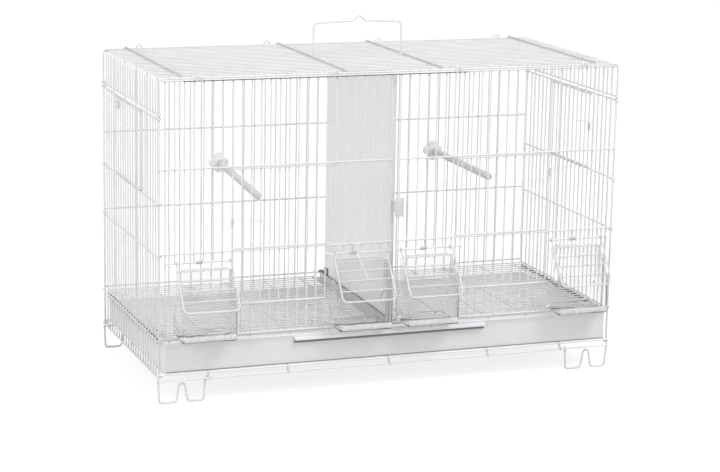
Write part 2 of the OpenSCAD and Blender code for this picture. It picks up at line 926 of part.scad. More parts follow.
module feeder_cup(i) {
    under_wire = front_foot_z - 0.2;
    over_wire = front_foot_z + cross_r + 0.35;
    step_y = -layer - cross_r - 0.35;
    bin_back = 16;
    bin_top = front_foot_z + 24;
    back_y_top = 1.5;
    floor_z = over_wire + 1.4;
    outer_top = hood_point(hood_top, hood_gap);
    outer_low = hood_point(hood_low, hood_gap);
    inner_top = hood_point(hood_top + cup_wall, hood_gap + cup_wall);
    inner_low = hood_point(hood_low + 0.6, hood_gap + cup_wall);
    outer = [
        [outer_low[0], under_wire], [step_y, under_wire], [step_y, over_wire],
        [bin_back, over_wire], [bin_back, bin_top], [back_y_top, bin_top + 16],
        [back_y_top, outer_top[1]], outer_top, outer_low
    ];
    inner = [
        [outer_low[0] + cup_wall, floor_z], [bin_back - cup_wall, floor_z],
        [bin_back - cup_wall, bin_top + 1], [bin_back + 5, bin_top + 1],
        [bin_back + 5, inner_top[1]], inner_top, [outer_low[0] + cup_wall, inner_low[1]]
    ];
    rib_pitch = 9.5;
    color([0.9, 0.93, 0.95, 0.4])
        translate([feeder_x[i], front_y, 0]) {
            difference() {
                translate([-cup_w / 2, 0, 0])
                    rotate([90, 0, 90])
                        linear_extrude(cup_w)
                            polygon(outer);
                translate([-cup_w / 2 + cup_wall, 0, 0])
                    rotate([90, 0, 90])
                        linear_extrude(cup_w - 2 * cup_wall)
                            polygon(inner);
            }
            for (k = [-2 : 2])
                block([k * rib_pitch - 0.6, outer_low[0] - 0.7, under_wire + 0.6],
                    [k * rib_pitch + 0.6, outer_low[0] + 0.5, under_wire + 7.5]);
        }
}

module feeder_cup_1() {
    feeder_cup(0);
}

module feeder_cup_2() {
    feeder_cup(1);
}

module feeder_cup_3() {
    feeder_cup(2);
}

module feeder_cup_4() {
    feeder_cup(3);
}

// ---------------------------------------------------------------- perches

perch_x = [-9.94, 10.84] * back_pitch;
perch_z = [front_high_z - 44.5, front_high_z - 41.9];
perch_droop = [2.8, 0.5];
perch_skew = [-1.6, 0.4];
cap_back = back_y - mesh_r - 0.3;
cap_t = 4;
hub_t = 5;

// Rod pushed over the cap's spigot; the left one hangs a little
module perch(i) {
    socket_depth = 9;
    color([0.78, 0.78, 0.79])
        translate([perch_x[i], cap_back - cap_t - hub_t - seat - 0.1, perch_z[i]])
            rotate([0, 0, perch_skew[i]])
                rotate([perch_droop[i] + 90, 0, 0])
                    difference() {
                        cylinder(h = perch_len, d = perch_d);
                        translate([0, 0, -1])
                            cylinder(h = socket_depth + 1, d = 5.4);
                    }
}

module left_perch() {
    perch(0);
}

module right_perch() {
    perch(1);
}

// Four-lobed cap inside the back wires, with a hub, a spigot and a stud through the wires
module perch_cap(i) {
    lobe_r = 6;
    lobe_at = 7.4;
    color([0.82, 0.82, 0.83])
        translate([perch_x[i], cap_back, perch_z[i]])
            rotate([90, 0, 0]) {
                for (a = [0 : 90 : 270])
                    rotate([0, 0, a])
                        translate([lobe_at, 0, 0])
                            cylinder(h = cap_t, r = lobe_r);
                cylinder(h = cap_t + hub_t, d = 13);
                cylinder(h = cap_t + hub_t + 8, d = 4);
                translate([0, 0, -mesh_d - 0.6 - 3])
                    cylinder(h = mesh_d + 5, d = 5);
            }
}

module left_perch_cap() {
    perch_cap(0);
}

module right_perch_cap() {
    perch_cap(1);
}

// Ring nut on the stud behind the wires
module perch_nut(i) {
    nut_front = back_y + mesh_r + seat;
    color([0.82, 0.82, 0.83])
        translate([perch_x[i], nut_front, perch_z[i]])
            rotate([-90, 0, 0])
                difference() {
                    cylinder(h = perch_nut_reach - mesh_r - seat, d = 17);
                    translate([0, 0, -1])
                        cylinder(h = 8, d = 5.1);
                }
}

module left_perch_nut() {
    perch_nut(0);
}

module right_perch_nut() {
    perch_nut(1);
}

// ---------------------------------------------------------------- handle

// Bail that turns on the middle top wire; its legs stand behind that wire
module carry_handle() {
    wire_d = 2.4;
    bore_r = mesh_r + play;
    leg_y = centre_y + bore_r + wire_d / 2;
    shoulder_z = top_wire_z + handle_h;
    corners = [
        [handle_legs[0], top_wire_z], [handle_legs[0], shoulder_z], [-8, shoulder_z + 2],
        [0, shoulder_z + 9.6], [8, shoulder_z + 2],
        [handle_legs[1], shoulder_z], [handle_legs[1], top_wire_z]
    ];
    path = rounded([for (c = corners) [c[0], leg_y, c[1]]], 3.2, 4);
    color("white")
        difference() {
            union() {
                swept_wire(path, [for (p = path) [0, 1, 0]], wire_d, 8);
                for (x = handle_legs)
                    eye([x, centre_y, top_wire_z], [1, 0, 0], bore_r, wire_d);
            }
            for (x = handle_legs)
                eye_bore([x, centre_y, top_wire_z], [1, 0, 0], bore_r, wire_d);
        }
}

front_panel();
back_panel();
left_side_panel();
right_side_panel();
top_panel();
base_frame();
foot_front_left();
foot_front_right();
foot_back_left();
foot_back_right();
left_floor_grille();
right_floor_grille();
tray();
divider();
divider_pull();
divider_rail();
divider_top_guide();
divider_back_clip();
left_front_door();
right_front_door();
left_side_door();
right_side_door();
left_front_latch();
right_front_latch();
left_side_latch();
right_side_latch();
feeder_flap_1();
feeder_flap_2();
feeder_flap_3();
feeder_flap_4();
flap_spring_1();
flap_spring_2();
flap_spring_3();
flap_spring_4();
feeder_cup_1();
feeder_cup_2();
feeder_cup_3();
feeder_cup_4();
left_perch();
right_perch();
left_perch_cap();
right_perch_cap();
left_perch_nut();
right_perch_nut();
carry_handle();
top_clips();
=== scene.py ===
"""Canary breeding cage: the looks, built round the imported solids. Sizes in the functions are
millimetres; meshes are written in metres. Front toward -Y, floor at z = 0."""
import bpy
import bmesh
import math
from math import cos, pi, radians, sin
from mathutils import Matrix, Vector


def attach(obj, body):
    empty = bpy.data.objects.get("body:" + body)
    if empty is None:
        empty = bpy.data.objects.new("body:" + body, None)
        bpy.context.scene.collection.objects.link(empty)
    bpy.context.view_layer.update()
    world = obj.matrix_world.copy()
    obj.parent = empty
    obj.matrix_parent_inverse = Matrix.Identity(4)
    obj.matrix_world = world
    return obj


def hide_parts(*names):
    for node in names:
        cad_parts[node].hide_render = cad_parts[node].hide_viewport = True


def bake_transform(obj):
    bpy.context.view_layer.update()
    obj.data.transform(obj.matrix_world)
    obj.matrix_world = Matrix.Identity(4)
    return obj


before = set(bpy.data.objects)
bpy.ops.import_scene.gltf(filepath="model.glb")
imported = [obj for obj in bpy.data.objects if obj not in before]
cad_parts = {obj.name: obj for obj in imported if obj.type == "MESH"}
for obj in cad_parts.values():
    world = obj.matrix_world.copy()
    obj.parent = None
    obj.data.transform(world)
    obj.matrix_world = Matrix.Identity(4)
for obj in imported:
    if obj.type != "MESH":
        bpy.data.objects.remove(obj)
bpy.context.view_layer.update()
MM = 0.001

# ---- sizes, as in the solids
CAGE_W, CAGE_D, FOOT_H, BODY_H = 590.6, 266.7, 32.5, 359.4
MESH_D, CROSS_D, FRAME_D = 1.8, 2.2, 2.6
MESH_R, CROSS_R, FRAME_R = MESH_D / 2, CROSS_D / 2, FRAME_D / 2
WELD = 0.02
LAYER = MESH_R + CROSS_R + WELD
RAIL_LAYER = MESH_R + FRAME_R + WELD
FRONT_DOOR_H, SIDE_DOOR_H, LATCH_ARM = 101.4, 99.9, 42
FLAP_LEN, FLAP_TILT, FLAP_W, FLAP_WIRE_R, SLAT_R = 64, 35.5, 70.6, 1.0, 0.8
CUP_W, CUP_WALL, CUP_CORNER = 67, 1.3, 6.0
TRAY_H, TRAY_BACK_H, TRAY_LIP_W, LIP_OFF, LIP_DROP = 37, 30, 252, -2, 7.1
DIVIDER_T, DIVIDER_ROOM = 1.2, 0.3
PERCH_D, PERCH_LEN = 9.5, 181
HANDLE_W, HANDLE_H, HANDLE_MID = 117.2, 43, -1.4
PERCH_NUT_REACH = 5.6
CY = (LAYER + FLAP_LEN * sin(radians(FLAP_TILT)) + FLAP_WIRE_R - PERCH_NUT_REACH) / 2
FY, BY = CY - CAGE_D / 2, CY + CAGE_D / 2
SX = CAGE_W / 2
SHEET_BACK = BY - 20
FOOT_X, FOOT_HALF = SX - 28.2, 29.5
TOP_Z = FOOT_H + BODY_H
TOP_WIRE_Z = TOP_Z - MESH_R
TOP_ROD_Z = TOP_WIRE_Z - 2.6
TOP_ROD_X = SX - 2.6
DROP_END_Z, DROP_ROD_Z = TOP_Z - 43.9, TOP_Z - 42.8
FRONT_HIGH_Z = TOP_Z - 107.9
FRONT_LOW_Z = FRONT_HIGH_Z - FRONT_DOOR_H
FRONT_MID_Z = (FRONT_LOW_Z + FOOT_H) / 2 + 9.95
FRONT_FOOT_Z = FOOT_H + 47.8
BAR_Z = FRONT_LOW_Z - 11.3
BACK_LEVELS = (FRONT_HIGH_Z + 0.8, FRONT_LOW_Z + 2.1, FOOT_H + 49.7)
SIDE_HIGH_Z = TOP_Z - 47.7
SIDE_MID_Z = SIDE_HIGH_Z - SIDE_DOOR_H
SIDE_LOW_Z = FRONT_LOW_Z - 2.4
LEDGE_Z = FRONT_FOOT_Z - 2.4
SIDE_FOOT_Z = FOOT_H + 1.2
RAIL_HIGH_Z, RAIL_LOW_Z = FOOT_H + 3.8, FOOT_H - 3.8
TRAY_Z = RAIL_HIGH_Z + FRAME_R + 0.2
GRILLE_Z = FRONT_FOOT_Z - 2.4
BACK_HALF = 20
FRONT_PITCH, SIDE_PITCH = (CAGE_W - 14.4) / 49, CAGE_D / 22.6
BACK_PITCH = (CAGE_W - 26.4) / (2 * BACK_HALF - 1)
HANDLE_LEGS = (HANDLE_MID - HANDLE_W / 2, HANDLE_MID + HANDLE_W / 2)
BRACE_X = (-22.7 * FRONT_PITCH, HANDLE_LEGS[0] - 3.5, HANDLE_LEGS[1] + 2.8, 22.53 * FRONT_PITCH)
COLUMN_END, COLUMN_TOP = FRONT_FOOT_Z - MESH_R, TOP_ROD_Z + 1
DIVIDER_LOW, DIVIDER_TOP = FRONT_FOOT_Z + CROSS_R + 0.8, TOP_ROD_Z - CROSS_R - 0.8
POST_IN = FRAME_R - MESH_R
POST_LOW, POST_TOP = FOOT_H - 1, DROP_END_Z - 0.4
HINGE_X, SIDE_HINGE_Y, DOOR_GAP = 7 * FRONT_PITCH, 4.5 * SIDE_PITCH, 0.3
SPARE = 7 * FRONT_PITCH - MESH_D - CUP_W
FEEDER_X = [k * FRONT_PITCH + o * SPARE / 2
        for k, o in ((-21, 0.92), (-4, 0.5), (4, -0.5), (21, -0.14))]
SPRING_D, SPRING_TURNS, SPRING_PITCH = 0.9, 6, 1.4
SPRING_R = CROSS_R + 0.35 + SPRING_D / 2
SPRING_X = [k * FRONT_PITCH for k in (-21, -4.5, 3.3, 20.5)]
SPRING_KEEP = (SPRING_TURNS * SPRING_PITCH + SPRING_D) / 2 + MESH_R + 0.3
FLAP_SLATS = [k * FLAP_LEN for k in (0.156, 0.36, 0.5625, 0.773)]
PLAY = 0.08


def column_x(k):
    return (k + 0.5) * FRONT_PITCH


# ---- node helpers
def add(tree, kind, inputs=(), **fields):
    """One node; inputs maps a socket's name or number to a value or to another node's output."""
    n = tree.nodes.new(kind)
    for key, value in fields.items():
        setattr(n, key, value)
    for key, value in dict(inputs).items():
        socket = n.inputs[key]
        if isinstance(value, bpy.types.NodeSocket):
            tree.links.new(value, socket)
        elif isinstance(value, bpy.types.Node):
            tree.links.new(value.outputs[0], socket)
        else:
            socket.default_value = value
    return n


def maths(tree, how, a, b=0.0):
    return add(tree, "ShaderNodeMath", {0: a, 1: b}, operation=how).outputs[0]


def vectors(tree, how, a, b):
    return add(tree, "ShaderNodeVectorMath", {0: a, 1: b}, operation=how).outputs[0]


def remap(tree, value, start, stop, low, high, **fields):
    """The stretch from start to stop becomes low to high."""
    return add(tree, "ShaderNodeMapRange", {"Value": value, "From Min": start, "From Max": stop,
            "To Min": low, "To Max": high}, **fields).outputs[0]


def noise(tree, at, cells, size, **more):
    """Noise with so many cells in a length."""
    scale = maths(tree, "DIVIDE", cells, size)
    return add(tree, "ShaderNodeTexNoise", {"Vector": at, "Scale": scale, **more}).outputs[0]


def show(name, data):
    """A new object in the scene."""
    piece = bpy.data.objects.new(name, data)
    bpy.context.scene.collection.objects.link(piece)
    return piece


def group(name, kind, ins, outs):
    """Node group with named sockets: (name, socket type, default)."""
    t = bpy.data.node_groups.new(name, kind)
    for label, what, default in ins:
        s = t.interface.new_socket(label, in_out="INPUT", socket_type=what)
        if default is not None:
            s.default_value = default
    for label, what in outs:
        t.interface.new_socket(label, in_out="OUTPUT", socket_type=what)
    return t, t.nodes.new("NodeGroupInput").outputs, t.nodes.new("NodeGroupOutput").inputs


# ---- finishes
def tone_group():
    """Soft patches of a second tone over a first one, with fine mottling."""
    ins = (("Light tone", "NodeSocketColor", (0.8, 0.8, 0.8, 1)),
           ("Dark tone", "NodeSocketColor", (0.7, 0.7, 0.7, 1)),
           ("Patch size", "NodeSocketFloat", 0.05), ("Share", "NodeSocketFloat", 0.5))
    outs = (("Color", "NodeSocketColor"), ("Mask", "NodeSocketFloat"))
    t, i, o = group("tone_patches", "ShaderNodeTree", ins, outs)
    at = add(t, "ShaderNodeTexCoord").outputs["Object"]
    wide = noise(t, at, 1.0, i["Patch size"], Detail=3.0, Roughness=0.55)
    fine = noise(t, at, 9.0, i["Patch size"], Detail=2.0, Roughness=0.6)
    both = maths(t, "ADD", maths(t, "MULTIPLY", wide, 0.7), maths(t, "MULTIPLY", fine, 0.3))
    ramp = remap(t, both, 0.38, 0.62, 0.0, 1.0, interpolation_type="SMOOTHSTEP")
    mask = maths(t, "MULTIPLY", ramp, i["Share"])
    mix = add(t, "ShaderNodeMix", {0: mask, 6: i["Light tone"], 7: i["Dark tone"]}, data_type="RGBA")
    t.links.new(mix.outputs[2], o["Color"])
    t.links.new(mask, o["Mask"])
    return t


def grain_group():
    """Height of a sprayed or moulded skin: orange peel with finer pips on it."""
    ins = (("Peel size", "NodeSocketFloat", 0.002), ("Pip size", "NodeSocketFloat", 0.0005),
           ("Pips", "NodeSocketFloat", 0.4))
    t, i, o = group("skin_grain", "ShaderNodeTree", ins, (("Height", "NodeSocketFloat"),))
    at = add(t, "ShaderNodeTexCoord").outputs["Object"]
    peel = noise(t, at, 1.0, i["Peel size"], Detail=1.5)
    pips = add(t, "ShaderNodeTexVoronoi", {"Vector": at, "Scale": maths(t, "DIVIDE", 1.0, i["Pip size"])})
    t.links.new(maths(t, "ADD", peel, maths(t, "MULTIPLY", pips.outputs[0], i["Pips"])), o["Height"])
    return t


def streak_group():
    """Fine lines along one axis, as drawn wire or an extruded rod shows."""
    ins = (("Across", "NodeSocketVector", (900.0, 900.0, 12.0)),)
    t, i, o = group("drawn_streaks", "ShaderNodeTree", ins, (("Streaks", "NodeSocketFloat"),))
    at = add(t, "ShaderNodeTexCoord").outputs["Object"]
    spread = vectors(t, "MULTIPLY", at, i["Across"])
    lines = add(t, "ShaderNodeTexNoise", {"Vector": spread, "Scale": 1.0, "Detail": 2.0})
    t.links.new(lines.outputs[0], o["Streaks"])
    return t


TONES, GRAIN, STREAKS = tone_group(), grain_group(), streak_group()


def finish(name, light, dark, patch=0.03, share=0.5, rough=(0.3, 0.45), peel=0.0012, pip=0.0004,
        pips=0.3, bump=0.25, depth=0.0001, across=None, streak=0.0, joints=0.0, **own):
    """Material from the shared groups. own: values for the shader's own sockets."""
    m = bpy.data.materials.new(name)
    m.use_nodes = True
    t = m.node_tree
    bsdf = t.nodes["Principled BSDF"]
    tone = add(t, "ShaderNodeGroup", {"Light tone": (*light, 1), "Dark tone": (*dark, 1),
            "Patch size": patch, "Share": share}, node_tree=TONES)
    grain = add(t, "ShaderNodeGroup", {"Peel size": peel, "Pip size": pip, "Pips": pips}, node_tree=GRAIN)
    colour, mask, height = tone.outputs["Color"], tone.outputs["Mask"], grain.outputs["Height"]
    if across:
        lines = add(t, "ShaderNodeGroup", {"Across": across}, node_tree=STREAKS).outputs[0]
        height = maths(t, "ADD", height, maths(t, "MULTIPLY", lines, streak * 4))
        shade = remap(t, lines, 0.3, 0.7, 1.0 - streak, 1.0 + streak * 0.5)
        colour = vectors(t, "MULTIPLY", colour, shade)
        mask = maths(t, "MULTIPLY", maths(t, "ADD", mask, lines), 0.6)
    # the marked tone darkens weld nuggets and the clouded cup hoods, and also carries painted light and
    # painted shade on the tray and the divider's hem
    if joints:
        near = add(t, "ShaderNodeAttribute", attribute_name="tone_and_painted_light").outputs["Fac"]
        dull = maths(t, "SUBTRACT", 1.0, maths(t, "MULTIPLY", near, joints))
        colour = vectors(t, "MULTIPLY", colour, dull)
    t.links.new(colour, bsdf.inputs["Base Color"])
    t.links.new(remap(t, mask, 0.0, 1.0, *rough), bsdf.inputs["Roughness"])
    relief = add(t, "ShaderNodeBump", {"Height": height, "Strength": bump, "Distance": depth})
    t.links.new(relief.outputs[0], bsdf.inputs["Normal"])
    for key, value in own.items():
        bsdf.inputs[key.replace("_", " ")].default_value = value
    return m


WHITE_COAT = finish("white_powder_coat", (0.775, 0.775, 0.765), (0.685, 0.685, 0.675),
        rough=(0.28, 0.45), joints=0.10, Coat_Weight=0.15)
# a lighter copy of the white coat for the base rails: painted light
BASE_PAINTED_LIGHT_COAT = finish("base_coat_painted_light", (0.90, 0.90, 0.89), (0.82, 0.82, 0.81),
        rough=(0.25, 0.4), joints=0.12, Coat_Weight=0.2)
# a darker copy of the white coat for the top braces: painted shade
BRACE_PAINTED_SHADE_COAT = finish("brace_coat_painted_shade", (0.58, 0.58, 0.57), (0.48, 0.48, 0.47), patch=0.01, share=0.7)
# a darker copy of the white coat for the flap wires: painted shade
FLAP_PAINTED_SHADE_COAT = finish("flap_coat_painted_shade", (0.73, 0.73, 0.72), (0.64, 0.64, 0.63), patch=0.02,
        rough=(0.25, 0.4), peel=0.001, joints=0.08, Coat_Weight=0.2)
SPRING_STEEL = finish("drawn_spring_wire", (0.80, 0.80, 0.80), (0.60, 0.60, 0.59), patch=0.004, share=0.8,
        rough=(0.22, 0.42), peel=0.0008, pip=0.0003, bump=0.2, depth=0.00005,
        across=(1600, 1600, 300), streak=0.15, Metallic=0.6)
TRAY_SKIN = finish("tray_satin_skin", (0.775, 0.775, 0.798), (0.74, 0.74, 0.763), patch=0.16, share=0.45,
        rough=(0.26, 0.4), peel=0.003, pip=0.0007, pips=0.5, bump=0.22, depth=0.00015, joints=0.72)
DIVIDER_SKIN = finish("divider_sheet_paint", (0.90, 0.90, 0.922), (0.855, 0.855, 0.882), patch=0.11,
        share=0.45, rough=(0.26, 0.34), peel=0.0035, pip=0.0009, bump=0.12, depth=0.00008,
        across=(220, 260, 6), streak=0.012, joints=0.16)
PULL_PAINT = finish("pull_paint", (0.68, 0.68, 0.68), (0.61, 0.61, 0.61), patch=0.012,
        rough=(0.3, 0.42), peel=0.001, pip=0.0006, bump=0.2)
DULL_METAL = finish("dull_clip_metal", (0.40, 0.40, 0.41), (0.28, 0.28, 0.29), patch=0.006, share=0.8,
        rough=(0.35, 0.55), peel=0.0008, pip=0.0006, bump=0.3, depth=0.00008,
        across=(1500, 300, 90), streak=0.2, Metallic=0.75)
CLEAR_CUP = finish("clear_moulded_cup", (0.985, 0.985, 0.982), (0.965, 0.965, 0.962), share=0.6,
        rough=(0.03, 0.10), peel=0.006, pip=0.0015, pips=0.1, bump=0.10, depth=0.0002,
        joints=0.11, Transmission_Weight=1.0, IOR=1.14)
CUP_BAND = finish("frosted_cup_band", (0.95, 0.95, 0.945), (0.90, 0.90, 0.895), patch=0.01,
        rough=(0.45, 0.6), pip=0.0005, bump=0.2, Transmission_Weight=0.4, IOR=1.3)
# near-black for strips that stand in for shadowed gaps: painted shadow
PAINTED_SHADOW_STRIP = finish("painted_shadow_strip", (0.06, 0.06, 0.065), (0.03, 0.03, 0.033), patch=0.02, share=0.7,
        rough=(0.4, 0.6), peel=0.001)
PERCH_SKIN = finish("perch_plastic", (0.69, 0.69, 0.70), (0.61, 0.61, 0.62), share=0.6,
        rough=(0.38, 0.55), peel=0.0015, pip=0.0006, pips=0.5, bump=0.3, depth=0.00015,
        across=(700, 14, 700), streak=0.05)
CAP_SKIN = finish("perch_cap_plastic", (0.85, 0.85, 0.855), (0.79, 0.79, 0.80), patch=0.008, share=0.6,
        rough=(0.34, 0.5), pip=0.0005, pips=0.5)


# ---- wire work
def wire_tree():
    """Polylines with a radius at each point become round wires that wander a little between
    their welds; loose points become weld nuggets. Everything is one closed, plain mesh."""
    ins = (("Geometry", "NodeSocketGeometry", None), ("Sides", "NodeSocketInt", 8),
           ("Wander", "NodeSocketFloat", 0.0), ("Wander length", "NodeSocketFloat", 0.09),
           ("Nugget spread", "NodeSocketFloat", 0.15), ("Seed", "NodeSocketInt", 0),
           ("Finish", "NodeSocketMaterial", None))
    t, i, o = group("bent_wire_work", "GeometryNodeTree", ins, (("Geometry", "NodeSocketGeometry"),))

    def attribute(name, kind):
        return add(t, "GeometryNodeInputNamedAttribute", {"Name": name}, data_type=kind).outputs[0]

    at = add(t, "GeometryNodeInputPosition").outputs[0]
    number = attribute("wire_id", "FLOAT")
    own_number = maths(t, "ADD", maths(t, "MULTIPLY", number, 3.7), i["Seed"])
    cells = maths(t, "DIVIDE", 1.0, i["Wander length"])
    sway = add(t, "ShaderNodeTexNoise", {"Vector": at, "W": own_number, "Detail": 1.0, "Scale": cells},
            noise_dimensions="4D")
    most = maths(t, "MULTIPLY", i["Wander"], 4.0)
    amount = maths(t, "MULTIPLY", maths(t, "SUBTRACT", sway.outputs[0], 0.5), most)
    way = attribute("free_way", "FLOAT_VECTOR")
    shift = add(t, "ShaderNodeVectorMath", {0: way, 3: amount}, operation="SCALE")
    moved = add(t, "GeometryNodeSetPosition", {"Geometry": i["Geometry"], "Offset": shift.outputs[0]})
    curve = add(t, "GeometryNodeMeshToCurve", {"Mesh": moved.outputs[0]})
    ring = add(t, "GeometryNodeCurvePrimitiveCircle", {"Resolution": i["Sides"], "Radius": 1.0})
    tube = add(t, "GeometryNodeCurveToMesh", {"Curve": curve.outputs[0], "Profile Curve": ring.outputs[0],
            "Scale": attribute("wire_r", "FLOAT"), "Fill Caps": True})
    size = attribute("nugget", "FLOAT")
    is_nugget = add(t, "FunctionNodeCompare", {"A": size, "B": 0.0}, data_type="FLOAT",
            operation="GREATER_THAN")
    spots = add(t, "GeometryNodeMeshToPoints", {"Mesh": i["Geometry"], "Selection": is_nugget.outputs[0]})
    ball = add(t, "GeometryNodeMeshUVSphere", {"Segments": 7, "Rings": 4, "Radius": 1.0})
    turn = add(t, "FunctionNodeRandomValue", {"Min": (0, 0, 0), "Max": (6.28, 6.28, 6.28), "Seed": i["Seed"]},
            data_type="FLOAT_VECTOR")
    low = maths(t, "SUBTRACT", 1.0, i["Nugget spread"])
    high = maths(t, "ADD", 1.0, i["Nugget spread"])
    change = add(t, "FunctionNodeRandomValue", {2: low, 3: high, "Seed": i["Seed"]}, data_type="FLOAT")
    scale = maths(t, "MULTIPLY", size, change.outputs[1])
    balls = add(t, "GeometryNodeInstanceOnPoints", {"Points": spots.outputs[0], "Instance": ball.outputs[0],
            "Rotation": turn.outputs[0], "Scale": scale})
    solid = add(t, "GeometryNodeRealizeInstances", {"Geometry": balls.outputs[0]})
    marked = add(t, "GeometryNodeStoreNamedAttribute", {"Geometry": solid.outputs[0],
            "Name": "tone_and_painted_light", "Value": 1.0}, data_type="FLOAT", domain="POINT")
    every = t.nodes.new("GeometryNodeJoinGeometry")
    t.links.new(tube.outputs[0], every.inputs[0])
    t.links.new(marked.outputs[0], every.inputs[0])
    smooth = add(t, "GeometryNodeSetShadeSmooth", {"Geometry": every.outputs[0], "Shade Smooth": True})
    plain = add(t, "GeometryNodeRealizeInstances", {"Geometry": smooth.outputs[0]})
    done = add(t, "GeometryNodeSetMaterial", {"Geometry": plain.outputs[0], "Material": i["Finish"]})
    t.links.new(done.outputs[0], o["Geometry"])
    return t


def run_tree(name, mesh, tree, values):
    """Puts a tree on a mesh, and returns a new piece with the result as its plain mesh."""
    source = show(name + ".source", mesh)
    modifier = source.modifiers.new("build", "NODES")
    modifier.node_group = tree
    for item in tree.interface.items_tree:
        if item.in_out == "INPUT" and item.name in values:
            modifier[item.identifier] = values[item.name]
    source.update_tag()
    seen = source.evaluated_get(bpy.context.evaluated_depsgraph_get())
    result = bpy.data.meshes.new_from_object(seen)
    source.modifiers.remove(modifier)
    bpy.data.objects.remove(source)
    result.name = name
    return show(name, result)


WIRE_TREE = wire_tree()


def bends(points, radii, steps):
    """Polyline with its corners rounded by arcs of one radius, or of one for each corner."""
    p = [Vector(q) for q in points]
    out = [p[0]]
    if not isinstance(radii, tuple):
        radii = (radii,) * (len(p) - 2)
    for a, b, c, r in zip(p, p[1:], p[2:], radii):
        u, v = (a - b).normalized(), (c - b).normalized()
        half = u.angle(v) / 2
        if half > 1.565:
            out.append(b)
            continue
        mid = b + (u + v).normalized() * r / sin(half)
        first, last = b + u * r / math.tan(half) - mid, b + v * r / math.tan(half) - mid
        turn = pi - 2 * half
        for k in range(steps + 1):
            s = k / steps
            out.append(mid + (first * sin(turn * (1 - s)) + last * sin(turn * s)) / sin(turn))
    return out + [p[-1]]


class Wires:
    """Wires and weld nuggets of one piece, in millimetres."""

    def __init__(self):
        self.points, self.edges, self.radius, self.free, self.number, self.nugget = [], [], [], [], [], []
        self.count = 0

    def _point(self, p, r, free, nugget=0.0):
        self.points.append(Vector(p) * MM)
        self.radius.append(r * MM)
        self.free.append(free)
        self.number.append(float(self.count))
        self.nugget.append(nugget * MM)

    def wire(self, points, r, free=(0, 0, 0), step=16.0):
        """One wire; its cut ends are rounded by the coat. free is the way in which it may wander."""
        p = [Vector(q) for q in points]
        line = [p[0]]
        for a, b in zip(p, p[1:]):
            n = max(1, math.ceil((b - a).length / step)) if any(free) else 1
            line += [a.lerp(b, k / n) for k in range(1, n + 1)]
        u, v = (line[1] - line[0]).normalized(), (line[-2] - line[-1]).normalized()
        cut = ((0.0, 0.42), (0.22, 0.82), (0.7, 1.0))
        pairs = [(line[0] + u * r * k, r * thick) for k, thick in cut] + [(q, r) for q in line[1:-1]]
        pairs += [(line[-1] + v * r * k, r * thick) for k, thick in reversed(cut)]
        first = len(self.points)
        for q, radius in pairs:
            self._point(q, radius, free)
        self.edges += [(k, k + 1) for k in range(first, len(self.points) - 1)]
        self.count += 1

    def weld(self, p, size=0.95):
        self._point(p, size, (0, 0, 0), size)

    def shape(self, change):
        """Moves everything made so far by a matrix."""
        turn = change.to_3x3()
        self.points = [change @ p for p in self.points]
        self.free = [tuple(turn @ Vector(f)) for f in self.free]

    def mesh_piece(self, name, coat, sides=8, wander=0.0, seed=1):
        mesh = bpy.data.meshes.new(name + ".lines")
        mesh.from_pydata(self.points, self.edges, [])
        for label, values in (("wire_r", self.radius), ("wire_id", self.number), ("nugget", self.nugget)):
            mesh.attributes.new(label, "FLOAT", "POINT").data.foreach_set("value", values)
        flat = [x for f in self.free for x in f]
        mesh.attributes.new("free_way", "FLOAT_VECTOR", "POINT").data.foreach_set("vector", flat)
        return run_tree(name, mesh, WIRE_TREE, {"Sides": sides, "Wander": wander * MM, "Seed": seed,
                "Finish": coat})

    def piece(self, name, node, body="cage", coat=WHITE_COAT, slot="white_wire", **build):
        settle(self.mesh_piece(name, coat, **build), node, body)


def settle(piece, node, body):
    """Hands a finished piece to the frame: what it rides on and stands for."""
    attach(piece, body)
    if node:
        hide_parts(*([node] if isinstance(node, str) else node))


def arc(centre, a, b, r, start, stop, steps):
    """Points of an arc in the plane of unit vectors a and b, degrees from a toward b."""
    c, a, b = Vector(centre), Vector(a), Vector(b)
    out = []
    for k in range(steps + 1):
        t = radians(start + (stop - start) * (k / steps))
        out.append(c + a * r * cos(t) + b * r * sin(t))
    return out


def crossings(w, uprights, rods, plane, axis):
    """Nuggets where uprights (place, low, high) cross rods (level, from, to)."""
    for place, low, high in uprights:
        for level, start, stop in rods:
            if low - 0.1 <= level <= high + 0.1 and start <= place <= stop:
                w.weld((place, plane, level) if axis == "x" else (plane, place, level))


